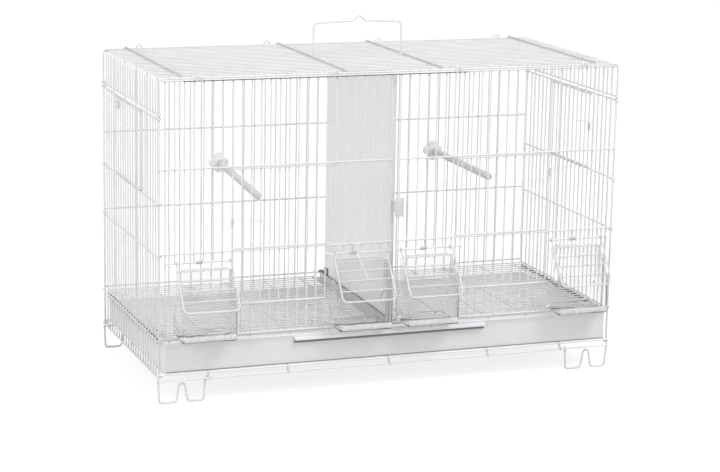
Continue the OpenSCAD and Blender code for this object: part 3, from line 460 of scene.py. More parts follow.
# ---- wire box
def front_panel():
    w = Wires()
    rod_y = FY - LAYER
    spring_top = BAR_Z + SPRING_R + SPRING_D / 2 + 0.3
    uprights = []
    for side in (-1, 1):
        for k in range(25):
            x = side * column_x(k)
            if 1 <= k <= 6 or 18 <= k <= 23:
                short = min(abs(x - s) for s in SPRING_X) < SPRING_KEEP
                spans = [(spring_top if short else BAR_Z - MESH_R, COLUMN_TOP)]
            elif 7 <= k <= 17:
                spans = [(COLUMN_END, FRONT_LOW_Z + MESH_R), (FRONT_HIGH_Z - MESH_R, COLUMN_TOP)]
            else:
                spans = [(COLUMN_END, COLUMN_TOP)]
            for low, high in spans:
                w.wire([(x, FY, low), (x, FY, high)], MESH_R, (1, 0, 0))
                uprights.append((x, low, high))
        post = side * SX
        w.wire([(post, FY + POST_IN, POST_LOW), (post, FY + POST_IN, POST_TOP)], FRAME_R)
        uprights.append((post, POST_LOW, POST_TOP))
        hinge = side * HINGE_X
        w.wire([(hinge, FY, FRONT_LOW_Z - CROSS_R), (hinge, FY, FRONT_HIGH_Z + CROSS_R)], MESH_R)
        uprights.append((hinge, FRONT_LOW_Z - CROSS_R, FRONT_HIGH_Z + CROSS_R))
    rods = [(TOP_ROD_Z, -TOP_ROD_X, TOP_ROD_X), (FRONT_FOOT_Z, -SX - 1, SX + 1)]
    for side in (-1, 1):
        spans = [(z, column_x(0) - 1.2, SX + 1) for z in (FRONT_LOW_Z, FRONT_HIGH_Z)]
        spans.append((FRONT_MID_Z, column_x(7) - MESH_R, column_x(17) + MESH_R))
        spans += [(BAR_Z, column_x(a) - 1.5, column_x(b) + 1.5) for a, b in ((0, 7), (17, 24))]
        rods += [(z, *sorted((side * a, side * b))) for z, a, b in spans]
    for z, start, stop in rods:
        w.wire([(start, rod_y, z), (stop, rod_y, z)], CROSS_R,
                (0, 0, 0.5) if z in (FRONT_FOOT_Z, FRONT_MID_Z) else (0, 0, 0))
    crossings(w, uprights, rods, FY - MESH_R, "x")
    # a near-black strip along the top rod's lower edge: painted shadow of the gap under the rod
    rod_shadow = Wires()
    rod_shadow_y, rod_shadow_z, rod_shadow_r, past_brace = rod_y - 0.3, TOP_ROD_Z - CROSS_R + 0.35, 0.75, 32
    rod_shadow.wire([(BRACE_X[0], rod_shadow_y, rod_shadow_z), (BRACE_X[2] + past_brace, rod_shadow_y, rod_shadow_z)], rod_shadow_r)
    rod_shadow.piece("front_top_painted_shadow", None, "cage", PAINTED_SHADOW_STRIP, "clip_metal", seed=4)
    w.piece("front_wire_panel", "front_panel", wander=0.3, seed=3)


def back_panel():
    w = Wires()
    rod_y = BY + LAYER
    uprights = []
    for side in (-1, 1):
        for k in range(BACK_HALF):
            x = side * (k + 0.5) * BACK_PITCH
            w.wire([(x, BY, SIDE_FOOT_Z), (x, BY, COLUMN_TOP)], MESH_R, (1, 0, 0))
            uprights.append((x, SIDE_FOOT_Z, COLUMN_TOP))
        w.wire([(side * SX, BY - POST_IN, POST_LOW), (side * SX, BY - POST_IN, POST_TOP)], FRAME_R)
        uprights.append((side * SX, POST_LOW, POST_TOP))
    rods = [(z, -SX - 1, SX + 1) for z in BACK_LEVELS] + [(TOP_ROD_Z, -TOP_ROD_X, TOP_ROD_X)]
    for z, start, stop in rods:
        w.wire([(start, rod_y, z), (stop, rod_y, z)], CROSS_R, (0, 0, 0.5))
    crossings(w, uprights, rods, BY + MESH_R, "x")
    w.piece("back_wire_panel", "back_panel", wander=0.3, seed=4)


def eyed_wire(plane_x, out_x, front, back, z, pin_r, r, wrap):
    """Wire along Y beside a plane, its ends curled round an upright wire at each end."""
    e, steps = pin_r + 0.05 + r, max(4, int(wrap / 22))
    side = 1 if out_x > plane_x else -1
    # each curl starts on the outer side and goes round the far side of its pin
    head = arc((plane_x, front, z), (side, 0, 0), (0, -1, 0), e, wrap, 0, steps)
    tail = arc((plane_x, back, z), (side, 0, 0), (0, 1, 0), e, 0, wrap, steps)
    return head + [Vector((out_x, y, z)) for y in (front + 5, back - 5)] + tail


def side_panel(side, node, name):
    """side -1 is the left panel; the right one is it turned round the middle of the cage."""
    w = Wires()
    plane, rod_x, shadow_strip_x = -SX, -SX - LAYER, -SX + LAYER
    uprights = []
    for k in range(-10, 11):
        y = CY + k * SIDE_PITCH
        low, high = SIDE_FOOT_Z - MESH_R, (SIDE_MID_Z if -4 <= k <= 5 else SIDE_HIGH_Z) + MESH_R
        w.wire([(plane, y, low), (plane, y, high)], MESH_R, (0, 1, 0))
        uprights.append((y, low, high))
    hinge_y = CY - SIDE_HINGE_Y
    w.wire([(plane, hinge_y, SIDE_MID_Z - CROSS_R), (plane, hinge_y, SIDE_HIGH_Z + CROSS_R)], MESH_R)
    uprights.append((hinge_y, SIDE_MID_Z - CROSS_R, SIDE_HIGH_Z + CROSS_R))
    front, back = FY + POST_IN, BY - POST_IN
    for z in (SIDE_HIGH_Z, SIDE_MID_Z, SIDE_LOW_Z, SIDE_FOOT_Z):
        w.wire(eyed_wire(plane, rod_x, front, back, z, FRAME_R, CROSS_R, 262), CROSS_R)
    w.wire(eyed_wire(plane, rod_x, front, back, LEDGE_Z, FRAME_R, CROSS_R, 112), CROSS_R)
    levels = (SIDE_HIGH_Z, SIDE_MID_Z, SIDE_LOW_Z, SIDE_FOOT_Z, LEDGE_Z)
    crossings(w, uprights, [(z, FY, BY) for z in levels], plane - MESH_R, "y")
    # a near-black strip under the grille's edge: painted shadow of the gap between the grille and the side
    # wall
    top, reach, web = GRILLE_Z - MESH_R - 0.1, 10 * SIDE_PITCH + 5, 2.4
    strip = ((-side * shadow_strip_x - CROSS_R, CY - reach, top - 2 * CROSS_R - web),
            (-side * shadow_strip_x + CROSS_R, CY + reach, top), 0.6)
    bar_piece(name.replace("wire_panel", "grille_shadow_strip"), [strip], PAINTED_SHADOW_STRIP, None, "cage")
    if side > 0:
        middle = Matrix.Translation((0, CY * MM, 0))
        w.shape(middle @ Matrix.Rotation(pi, 4, "Z") @ middle.inverted())
    w.piece(name, node, wander=0.3, seed=5 + side)


def top_panel():
    w = Wires()
    edges = (FY - 0.4, BY + 0.4)
    brace_z = TOP_WIRE_Z + LAYER

    def over(y, z, bend_r=5):
        """Across the top at a height and down both sides."""
        return bends([(-SX, y, DROP_END_Z), (-SX, y, z), (SX, y, z), (SX, y, DROP_END_Z)], bend_r, 6)

    for k in range(-10, 11):
        y = CY + k * SIDE_PITCH
        # the middle wire is the handle's pin and stays straight
        w.wire(over(y, TOP_WIRE_Z), MESH_R, (0, 1, 0) if k else (0, 0, 0))
        for x in BRACE_X:
            w.weld((x, y, TOP_WIRE_Z + MESH_R))
        for side in (-1, 1):
            w.weld((side * (SX + MESH_R), y, DROP_ROD_Z))
    for y in edges:
        w.wire(over(y, TOP_Z - CROSS_R), CROSS_R)
    braces = Wires()
    for x in BRACE_X:
        braces.wire([(x, FY + 3.5, brace_z), (x, BY + 0.4 + CROSS_R, brace_z)], CROSS_R)
    braces.piece("top_brace_wires", None, coat=BRACE_PAINTED_SHADE_COAT, seed=9)
    for side in (-1, 1):
        w.wire(eyed_wire(side * SX, side * (SX + LAYER), *edges, DROP_ROD_Z, CROSS_R, CROSS_R, 262), CROSS_R)
    w.piece("top_wire_panel", "top_panel", wander=0.3, seed=8)


def beside_column(x, wire_r):
    """Where a wire would run into an upright wire of the back, it stands beside it."""
    near, keep = (math.floor(x / BACK_PITCH) + 0.5) * BACK_PITCH, wire_r + MESH_R + 0.3
    return x if abs(x - near) >= keep else near + math.copysign(keep, x - near)


def top_clips():
    """Hairpin clips: both legs hook under the panel's top wire, the bow stands over the edge wire."""
    w = Wires()
    r, half, bow, lean = 0.8, 3.3, 3.6, 2.2
    for out, edge_y in ((-1, FY), (1, BY)):
        leg_y = edge_y + out * (LAYER + CROSS_R + r)
        hook_y, hook_z = edge_y + out * (LAYER - 1.5), TOP_ROD_Z - CROSS_R - r
        for k in (-21.1, -6.7, 6.7, 21.1):
            x = k * FRONT_PITCH if out < 0 else beside_column(k * FRONT_PITCH, r)
            legs = [bends([(x + s * half, hook_y, hook_z), (x + s * half, leg_y, hook_z),
                    (x + s * half, leg_y, TOP_Z)], 1.2, 4) for s in (-1, 1)]
            over = [Vector((x - half * cos(pi * q / 10), leg_y - out * lean * sin(pi * q / 10),
                    TOP_Z + bow * sin(pi * q / 10))) for q in range(1, 10)]
            w.wire(legs[0] + over + legs[1][::-1], r)
    w.piece("top_wire_clips", "top_clips", seed=9)


# ---- base and feet
def base_frame():
    w = Wires()
    places = [FRAME_D + 0.3 + FOOT_HALF - FOOT_X] + [k * FRONT_PITCH for k in (-11.4, -0.25, 11, 19.5)]
    xs = [beside_column(x, FRAME_R) for x in places]
    for y, out in ((FY - RAIL_LAYER, -1), (BY + RAIL_LAYER, 1)):
        for z in (RAIL_LOW_Z, RAIL_HIGH_Z):
            w.wire([(-SX - 1.3, y, z), (SX + 1.3, y, z)], FRAME_R)
            for x in xs:
                w.weld((x, y - out * FRAME_R, z), 1.1)
    z = RAIL_HIGH_Z - 0.1
    for x in xs:
        front, back, low = FY + POST_IN, BY - POST_IN, RAIL_LOW_Z - 1.2
        w.wire(bends([(x, front, low), (x, front, z), (x, back, z), (x, back, low)], 3.5, 6), FRAME_R)
    # in front each wire ends in a hook round the lower rail
    hooks, hook_r = Wires(), 0.75
    reach = FY - RAIL_LAYER - FRAME_R - hook_r
    low = RAIL_LOW_Z - FRAME_R - hook_r
    for x in xs:
        hooks.wire(bends([(x - 1.7, reach, RAIL_HIGH_Z + 0.7), (x + 0.9, reach, low),
                (x + 0.9, FY - RAIL_LAYER + 1.5, low)], 1.2, 5), hook_r)
    # grey spring steel in place of the white coat stands in for the hooks' shadowed side: painted shade
    hooks.piece("base_wire_hooks", None, "cage", SPRING_STEEL, "clip_metal", sides=12)
    w.piece("base_wire_frame", "base_frame", coat=BASE_PAINTED_LIGHT_COAT, seed=10)


def foot(node, side, back):
    w = Wires()
    y = (BY + RAIL_LAYER - FRAME_D - WELD) if back else (FY - RAIL_LAYER + FRAME_D + WELD)
    x = side * FOOT_X
    top, low, hump = FOOT_H - 1.5, FRAME_R, FOOT_H - 9
    corners = [(-FOOT_HALF, top), (-28, low), (-7.2, low), (-3.4, hump), (3.4, hump), (7.2, low), (26.5, low),
            (FOOT_HALF, top)]
    w.wire(bends([(x + a, y, b) for a, b in corners], (3.5, 4.5, 2.6, 2.6, 4.5, 3.5), 6), FRAME_R)
    for s in (-1, 1):
        w.weld((x + s * 29.4, y + (1.3 if back else -1.3), RAIL_LOW_Z), 1.1)
    w.piece(node + "_wire", node, seed=11)


# ---- floor grilles
def floor_grille(side, node, body):
    w = Wires()
    first, last = FY, BY - MESH_D - 0.5
    inner, outer, wires, carrier_r = 9.5, SX - FRAME_R - 0.8, 25, 1.0
    carrier_z = GRILLE_Z - MESH_R - carrier_r - WELD
    from_inner, both_margins = 20.5, 31.7
    xs = [side * (inner + from_inner + (outer - inner - both_margins) * k / 5) for k in range(6)]
    for k in range(wires):
        y = first + (last - first) * k / (wires - 1)
        start = 3.5 if k == 0 else inner
        w.wire([(side * start, y, GRILLE_Z), (side * outer, y, GRILLE_Z)], MESH_R, (0, 0.8, 0), step=24)
        for x in xs:
            w.weld((x, y, GRILLE_Z - MESH_R), 0.9)
    for x in xs:
        w.wire([(x, first - 0.4, carrier_z), (x, last + 0.4, carrier_z)], carrier_r)
    w.piece(node + "_wires", node, body, sides=7, wander=0.25, seed=13 + side)


# ---- doors and latches
def place_front(side):
    return Matrix.Translation((side * HINGE_X * MM, FY * MM, 0)) @ Matrix.Diagonal((side, 1, 1, 1))


def place_side(side):
    spot = Matrix.Translation((side * SX * MM, (CY + side * SIDE_HINGE_Y) * MM, 0))
    return spot @ Matrix.Rotation(radians(90 * side), 4, "Z") @ Matrix.Diagonal((-1, 1, 1, 1))


def wire_door(node, pitch, bars, low, high, place):
    """Hinge axis at x = 0, door toward +X, outside toward -Y, before it is placed."""
    w = Wires()
    end_x = (bars - 0.5) * pitch + MESH_R
    eye_r = MESH_R + PLAY + CROSS_R
    for k in range(bars):
        x = (k + 0.5) * pitch
        # the last bar is the latch's pin and stays straight
        free = (1, 0, 0) if k < bars - 1 else (0, 0, 0)
        w.wire([(x, 0, low - MESH_R), (x, 0, high + MESH_R)], MESH_R, free)
        for z in (low, high):
            w.weld((x, -MESH_R, z))
    for z in (low, high):
        curl = arc((0, 0, z), (0, -1, 0), (-1, 0, 0), eye_r, 278, 0, 14)
        w.wire(curl + [Vector((5, -LAYER, z)), Vector((end_x, -LAYER, z))], CROSS_R)
    w.shape(place)
    w.piece(node + "_wires", node, node, wander=0.22, seed=17)


LATCH_D, LATCH_TURNS, LATCH_PITCH = 1.1, 5, 1.9
LATCH_R = MESH_R + 0.45 + LATCH_D / 2


def latch(node, stile, z, hook, droop, place, upside_down=False):
    w = Wires()
    steps = 16
    count = LATCH_TURNS * steps
    tall = LATCH_TURNS * LATCH_PITCH
    coil = []
    for k in range(count + 1):
        a = 2 * pi * k / steps
        coil.append(Vector((-LATCH_R * sin(a), -LATCH_R * cos(a), tall * k / count)))
    start = Vector((hook, -LATCH_R, 0))
    end = Vector((-LATCH_ARM, -LATCH_R, tall - droop))
    arm = [coil[-1].lerp(end, s) + Vector((0, 0, 1.6 * s * (1 - s))) for s in (0.25, 0.5, 0.75, 1.0)]
    w.wire([start] + coil + arm, LATCH_D / 2)
    turn = Matrix.Diagonal((1, 1, -1, 1)) if upside_down else Matrix.Identity(4)
    w.shape(place @ Matrix.Translation((stile * MM, 0, z * MM)) @ turn)
    w.piece(node + "_wire", node, node, seed=19)


# ---- feeder flaps and springs
def eye_place(x, inward):
    near = column_x(round(x / FRONT_PITCH - 0.5))
    keep = 0.9 + 0.07 + MESH_R + 0.25
    return near + inward * keep if abs(x - near) < keep else x


def flap_matrix(i):
    spot = Matrix.Translation((FEEDER_X[i] * MM, (FY - LAYER) * MM, BAR_Z * MM))
    return spot @ Matrix.Rotation(-radians(FLAP_TILT), 4, "X")


def feeder_flap(i):
    """Hangs straight down from its hinge axis before it is placed."""
    w = Wires()
    side = FLAP_W / 2 - FLAP_WIRE_R
    eye_r = CROSS_R + PLAY + 1.0
    path = []
    for s in (-1, 1):
        eye = eye_place(FEEDER_X[i] + s * side, -s) - FEEDER_X[i]
        # from behind the bar over its top and down its front side
        curl = arc((eye, 0, 0), (0, -1, 0), (0, 0, 1), eye_r, 250, -30, 13)
        neck = Vector((s * side, 0, -7.5))
        leg = [*curl, Vector(((eye + s * side) / 2, -0.7, -4.6)), neck]
        path = leg if s < 0 else path + leg[::-1]
    left = path[:len(path) // 2]
    right = path[len(path) // 2:]
    u_bend = bends([left[-1], (-side, 0, -FLAP_LEN), (side, 0, -FLAP_LEN), right[0]], 6, 6)
    w.wire(left[:-1] + u_bend + right[1:], FLAP_WIRE_R)
    slat_y = FLAP_WIRE_R + SLAT_R + WELD
    for along in FLAP_SLATS:
        w.wire([(-side - SLAT_R, slat_y, -along), (side + SLAT_R, slat_y, -along)], SLAT_R)
        for s in (-1, 1):
            w.weld((s * side, FLAP_WIRE_R, -along), 0.9)
    w.shape(flap_matrix(i))
    node = "feeder_flap_%d" % (i + 1)
    w.piece(node + "_wires", node, "flap_%d" % (i + 1), FLAP_PAINTED_SHADE_COAT, "flap_wire", sides=10, seed=23 + i)


def flap_spring(i):
    """One leg stands on the cross wire above, the coil sits round the bar, one leg lies on the flap."""
    w = Wires()
    tilt = radians(FLAP_TILT)
    turn = SPRING_TURNS * 2 * pi - tilt
    steps = SPRING_TURNS * 16
    wide = SPRING_PITCH * turn / (2 * pi)
    c = Vector((SPRING_X[i], FY - LAYER, BAR_Z))
    coil = []
    for k in range(steps + 1):
        a = turn * k / steps
        coil.append(c + Vector((wide * (k / steps - 0.5), -SPRING_R * cos(a), -SPRING_R * sin(a))))
    down = Vector((0, -sin(tilt), -cos(tilt)))
    inward = Vector((0, cos(tilt), -sin(tilt)))
    reach = FLAP_SLATS[2] + 1.5
    sink = SPRING_R - (FLAP_WIRE_R + SPRING_D / 2 - CROSS_R - 0.9)
    upper = c + Vector((-wide / 2, -CROSS_R - SPRING_D / 2 - 0.12, FRONT_LOW_Z - BAR_Z + 1.6))
    lower = coil[-1] + down * reach + inward * sink + Vector((8.5, 0, 0))
    legs = [coil[-1].lerp(lower, s) for s in (0.2, 0.45, 0.7, 1.0)]
    w.wire([upper] + coil + legs, SPRING_D / 2)
    node = "flap_spring_%d" % (i + 1)
    mesh_piece = w.mesh_piece(node + "_wire", SPRING_STEEL)
    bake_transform(mesh_piece)
    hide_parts(node)


# ---- handle and divider guide
def carry_handle():
    w = Wires()
    r = 1.2
    bore_r = MESH_R + PLAY
    eye_r = bore_r + r
    leg_y = CY + eye_r
    left, right = HANDLE_LEGS
    shoulder = TOP_WIRE_Z + HANDLE_H
    corners = [(left, leg_y, TOP_WIRE_Z + 3), (left, leg_y, shoulder), (-8, leg_y, shoulder + 2),
            (0, leg_y, shoulder + 9.6), (8, leg_y, shoulder + 2), (right, leg_y, shoulder),
            (right, leg_y, TOP_WIRE_Z + 3)]
    body = bends(corners, (6, 3.2, 3.2, 3.2, 7), 7)
    curls = [arc((x, CY, TOP_WIRE_Z), (0, 1, 0), (0, 0, -1), eye_r, 0, 275, 14) for x in HANDLE_LEGS]
    w.wire(curls[0][::-1] + body + curls[1], r)
    w.piece("carry_handle_wire", "carry_handle", "handle", sides=10, seed=31)


def divider_top_guide():
    w = Wires()
    r, hanger_r, hang = 1.0, 0.9, 10 * SIDE_PITCH
    x, z = DIVIDER_T / 2 + DIVIDER_ROOM + r, DIVIDER_TOP - r
    for s in (-1, 1):
        w.wire([(s * x, CY - hang - 1, z), (s * x, CY + hang + 1, z)], r)
        for y in (-hang, hang):
            w.wire([(s * x, CY + y, z), (s * x, CY + y, TOP_WIRE_Z - MESH_R - WELD)], hanger_r)
            w.weld((s * x, CY + y, z), 1.15)
    w.piece("divider_guide_wires", "divider_top_guide", seed=33)


# ---- sheet and moulded pieces
def link_mesh(name, bm, material):
    mesh = bpy.data.meshes.new(name)
    bmesh.ops.recalc_face_normals(bm, faces=bm.faces)
    bm.to_mesh(mesh)
    bm.free()
    mesh.materials.append(material)
    for p in mesh.polygons:
        p.use_smooth = True
    return show(name, mesh)


def sharpen(piece, degrees):
    """Smooth shading that stops at edges sharper than the angle."""
    mesh = piece.data
    bm = bmesh.new()
    bm.from_mesh(mesh)
    limit = radians(degrees)
    for e in bm.edges:
        if len(e.link_faces) == 2:
            e.smooth = e.calc_face_angle(0) < limit
    bm.to_mesh(mesh)
    bm.free()
    for p in mesh.polygons:
        p.use_smooth = True


def sheet_piece(name, bm, coat, degrees, node, body, place=None):
    """Makes a piece of a mesh, moves it by a matrix and hands it over."""
    piece = link_mesh(name, bm, coat)
    if place:
        piece.data.transform(place)
    sharpen(piece, degrees)
    settle(piece, node, body)


def bar_piece(name, bars, coat, node, body):
    """Piece of rounded bars, each given by two corners and a radius."""
    bm = bmesh.new()
    for low, high, r in bars:
        rounded_bar(bm, low, high, r)
    sheet_piece(name, bm, coat, 40, node, body)


def loft(bm, rings, closed_ends=True):
    """Skin over rings of equal point counts, in millimetres."""
    rows = [[bm.verts.new(Vector(p) * MM) for p in ring] for ring in rings]
    n = len(rows[0])
    for a, b in zip(rows, rows[1:]):
        for k in range(n):
            bm.faces.new((a[k], a[(k + 1) % n], b[(k + 1) % n], b[k]))
    if closed_ends:
        bm.faces.new(rows[0][::-1])
        bm.faces.new(rows[-1])
    return rows


def hood_point(along, deep):
    t = radians(FLAP_TILT)
    return (-LAYER + deep * cos(t) - along * sin(t), BAR_Z - deep * sin(t) - along * cos(t))


def feeder_cup(i):
    """Clear cup: a bin hooked over the front's bottom wire with a hood under the flap."""
    gap = FLAP_WIRE_R + 2 * SLAT_R + WELD + 0.45
    under, over = FRONT_FOOT_Z - 0.2, FRONT_FOOT_Z + CROSS_R + 0.35
    step_y, bin_back, bin_top, back_y = -LAYER - CROSS_R - 0.35, 16, FRONT_FOOT_Z + 24, 1.5
    top, low = hood_point(8, gap), hood_point(52.2, gap)
    outline = [(bin_back, bin_top), (bin_back, over), (step_y, over), (step_y, under), (low[0], under),
            low, top, (back_y, top[1])]
    bm = bmesh.new()
    tone = bm.verts.layers.float.new("tone_and_painted_light")
    half = CUP_W / 2
    sides = []
    for s in (-1, 1):
        row = [bm.verts.new(Vector((FEEDER_X[i] + s * half, FY + y, z)) * MM) for y, z in outline]
        # the hood is a little more clouded than the bin
        for v in row[5:]:
            v[tone] = 1.0
        # the side wall ends on a slope from the bin's back edge up to the hood
        extra = bm.verts.new(Vector((FEEDER_X[i] + s * half, FY + back_y, bin_top + 16)) * MM)
        bm.faces.new(row + [extra])
        sides.append(row)
    for k in range(len(outline) - 1):
        bm.faces.new((sides[0][k], sides[0][k + 1], sides[1][k + 1], sides[1][k]))
    bmesh.ops.recalc_face_normals(bm, faces=bm.faces)
    weight = bm.edges.layers.float.new("bevel_weight_edge")
    for e in bm.edges:
        if len(e.link_faces) < 2:
            continue
        a, b = e.verts
        k = [k for k, row in enumerate(sides[0] + sides[1]) if row in (a, b)]
        along_x = abs(a.co.x - b.co.x) > 0.01
        level = min(a.co.z, b.co.z) / MM
        if along_x:
            e[weight] = 0.35 if level > under + 3 else 0.12
        else:
            e[weight] = 1.0 if level > top[1] - 0.5 else (0.5 if abs(a.co.z - b.co.z) > 0.003 else 0.12)
    name = "feeder_cup_%d" % (i + 1)
    piece = link_mesh(name + "_shell", bm, CLEAR_CUP)
    bevel = piece.modifiers.new("corners", "BEVEL")
    bevel.limit_method, bevel.width, bevel.segments = "WEIGHT", CUP_CORNER * MM, 4
    wall = piece.modifiers.new("wall", "SOLIDIFY")
    wall.thickness, wall.offset, wall.use_even_offset = CUP_WALL * MM, -1, True
    seen = piece.evaluated_get(bpy.context.evaluated_depsgraph_get())
    mesh = bpy.data.meshes.new_from_object(seen)
    piece.modifiers.clear()
    piece.data = mesh
    mesh.name = piece.name
    sharpen(piece, 35)
    settle(piece, name, "cage")
    # frosted band low on the front wall: one strip whose face runs in shallow ribs
    bm = bmesh.new()
    edge, rib, count, wall_y = half - 1.2, 0.55, 44, low[0] + 0.2
    rings = []
    for k in range(count + 1):
        x = -edge + 2 * edge * k / count
        out = low[0] - 0.12 - rib * (0.5 + 0.5 * cos(2 * pi * x / 9.5)) ** 2
        line = ((wall_y, 1.2), (out, 1.7), (out, 6.9), (wall_y, 7.7))
        rings.append([(FEEDER_X[i] + x, FY + y, under + z) for y, z in line])
    loft(bm, rings)
    sheet_piece(name + "_ribbed_band", bm, CUP_BAND, 50, None, "cage")


def rounded_corners(x0, x1, y0, y1, r, steps, reach=None):
    """Outline of a rounded rectangle; reach draws the corners in without moving their centres."""
    corners = ((x1 - r, y0 + r, -90), (x1 - r, y1 - r, 0), (x0 + r, y1 - r, 90), (x0 + r, y0 + r, 180))
    out = []
    for x, y, start in corners:
        for k in range(steps + 1):
            a = radians(start + 90 * k / steps)
            out.append((x + (reach or r) * cos(a), y + (reach or r) * sin(a)))
    return out


def tray():
    """Thin tray with rounded corners and a rolled rim, drawn as one skin from outside to inside;
    its walls slope down from the front to the back."""
    x, y0, y1 = SX - 3.3, FY - 1.6, BY - 13
    bm = bmesh.new()
    tone = bm.verts.layers.float.new("tone_and_painted_light")
    rings = []

    def ring(inset, part, z, r=5):
        """Level at a part of the wall's height, then z above it."""
        line = rounded_corners(-x + inset, x - inset, y0 + inset, y1 - inset, max(r - inset, 0.8), 5)
        tall = [TRAY_H + (TRAY_BACK_H - TRAY_H) * (b - y0) / (y1 - y0) for _, b in line]
        rings.append([(a, b, TRAY_Z + z + part * h) for (a, b), h in zip(line, tall)])

    for inset, z in ((4, 0), (1.6, 0.15), (0.5, 0.7), (0.05, 1.8)):
        ring(inset, 0, z)
    for part in (0.2, 0.45, 0.7, 0.91):
        ring(0.05, part, 0)
    rim = ((-0.45, 2.5), (-0.7, 1.6), (-0.6, 0.7), (-0.1, 0.12), (0.7, 0.0), (1.4, 0.35), (1.6, 1.2))
    for inset, drop in rim:
        ring(inset, 1, -drop)
    for part in (0.7, 0.45, 0.2):
        ring(1.45, part, 0)
    for inset, z in ((1.45, 3.2), (1.7, 2.0), (2.6, 1.5), (5, 1.4)):
        ring(inset, 0, z)
    rows = loft(bm, rings)
    # painted light: the inside is painted lighter than the outside, the outer side walls in between
    interior_painted_light, wall_painted_light, first_inside = -0.34, -0.24, 16
    for k, row in enumerate(rows):
        for v in row:
            if k >= first_inside:
                v[tone] = interior_painted_light
            elif abs(v.co.x) > (x - 1) * MM:
                v[tone] = wall_painted_light
    # pull lip: a curled strip across the front
    lip_z = TRAY_Z + TRAY_H - LIP_DROP
    lip = [(0.4, 4.7), (-2.2, 4.5), (-4.6, 3.9), (-5.9, 2.9), (-6.2, 1.9), (-6.2, 0.2), (-5.6, 0.0),
            (-5.05, 0.3), (-5.0, 1.2), (-4.4, 2.0), (-2.8, 2.7), (0.4, 3.2)]
    ends = [(0.0, 0.55), (0.6, 0.9), (1.6, 1.0)]
    half = TRAY_LIP_W / 2
    stations = [(-half + a, s) for a, s in ends] + [(half - a, s) for a, s in reversed(ends)]
    rings = []
    mid = (-2.8, 3.2)
    for at, s in stations:
        rings.append([(LIP_OFF + at, y0 + mid[0] + (a - mid[0]) * s, lip_z + mid[1] + (b - mid[1]) * s)
                for a, b in lip])
    loft(bm, rings)
    # painted shadow: thin bands on the wall's face, under the lip and where it stands on the base rail,
    # marked to render dark
    under_lip_painted_shadow = ((0.5, 3.0), (-0.35, 2.6), (-0.45, -3.9), (0.5, -4.6))
    on_rail_painted_shadow = ((0.6, 1.6), (-0.12, 1.35), (-0.12, 0.25), (0.6, 0.05))
    for line, mid_x, long, z in ((under_lip_painted_shadow, LIP_OFF, half - 1, lip_z), (on_rail_painted_shadow, 0, x - 5, TRAY_Z)):
        shade_band = [[(mid_x + at, y0 + a, z + b) for a, b in line] for at in (-long, long)]
        for v in (v for row in loft(bm, shade_band) for v in row):
            v[tone] = 1.0
    sheet_piece("tray_sheet", bm, TRAY_SKIN, 50, "tray", "tray")


def divider():
    """Sheet whose front edge is folded round into a flat tube; a slot for a finger in it."""
    low, top = DIVIDER_LOW, DIVIDER_TOP
    hem0, hem1, sheet_back = FY + 7, FY + 12, SHEET_BACK
    half, hx, front_r, back_r = DIVIDER_T / 2, 3.3, 1.6, 1.3
    mid_y = hem0 + 2.5
    slot_y, slot_z = CY + 32, FRONT_HIGH_Z - 20
    bm = bmesh.new()
    tone = bm.verts.layers.float.new("tone_and_painted_light")
    # hem: outline in plan, lofted up the height with eased ends
    plan = arc((hx - front_r, hem0 + front_r, 0), (0, -1, 0), (1, 0, 0), front_r, 0, 90, 4)
    plan += arc((hx - back_r, hem1 - back_r, 0), (1, 0, 0), (0, 1, 0), back_r, 0, 70, 3)
    plan.append(Vector((half, hem1 + 0.7, 0)))
    plan += [Vector((-p.x, p.y, 0)) for p in reversed(plan)]
    rings = []
    for z, s in ((low, 0.86), (low + 0.7, 1.0), (top - 0.7, 1.0), (top, 0.86)):
        rings.append([(p.x * s, mid_y + (p.y - mid_y) * s, z) for p in plan])
    # the hem is marked to be painted darker than the sheet: painted shade along the folded edge
    for v in (v for row in loft(bm, rings) for v in row):
        v[tone] = 1.0
    # sheet as a grid with the slot left out, with shallow stiffening swages across it
    slot_w, slot_h, across, up = 3, 11, 24, 30
    ys = [hem1 - 0.5, slot_y, slot_y + slot_w, sheet_back]
    ys = sorted(set(ys + [hem1 - 0.5 + (sheet_back - hem1 + 0.5) * k / across for k in range(1, across)]))
    zs = sorted({low, top, slot_z, slot_z + slot_h} | {low + (top - low) * k / up for k in range(1, up)})
    skins = {}
    for s in (-1, 1):
        for y in ys:
            for z in zs:
                edge = min(y - ys[0], ys[-1] - y, z - low, top - z)
                wave = 0.10 * sin(y / 31.0) * sin(z / 47.0) * min(1.0, edge / 20)
                skins[s, y, z] = bm.verts.new(Vector((s * half + wave, y, z)) * MM)

    def hole(a, z):
        return -0.01 <= a - slot_y < slot_w - 0.01 and -0.01 <= z - slot_z < slot_h - 0.01

    for y, y2 in zip(ys, ys[1:]):
        for z, z2 in zip(zs, zs[1:]):
            if hole(y, z):
                continue
            for s in (-1, 1):
                bm.faces.new([skins[s, y, z], skins[s, y2, z], skins[s, y2, z2], skins[s, y, z2]])
    for e in [e for e in bm.edges if len(e.link_faces) == 1 and e.verts[0].co.x < 0]:
        a, b = e.verts
        keys = [next(k for k, v in skins.items() if v == q) for q in (a, b)]
        other = [skins[1, k[1], k[2]] for k in keys]
        bm.faces.new((a, b, other[1], other[0]))
    sheet_piece("divider_sheet", bm, DIVIDER_SKIN, 40, "divider", "divider")


def rounded_bar(bm, low, high, r, steps=3):
    """Box with all its edges rounded, as closed rings along X."""
    (x0, y0, z0), (x1, y1, z1) = low, high
    rings = []
    for k in range(steps + 1):
        a = radians(90 * k / steps)
        rings.append((x0 + r * (1 - sin(a)), r * (1 - cos(a))))
    stations = rings + [(x1 - (x - x0), inset) for x, inset in reversed(rings)]
    loft(bm, [[(x, y, z) for y, z in rounded_corners(y0, y1, z0, z1, r, steps, r - inset * 0.999)]
            for x, inset in stations])


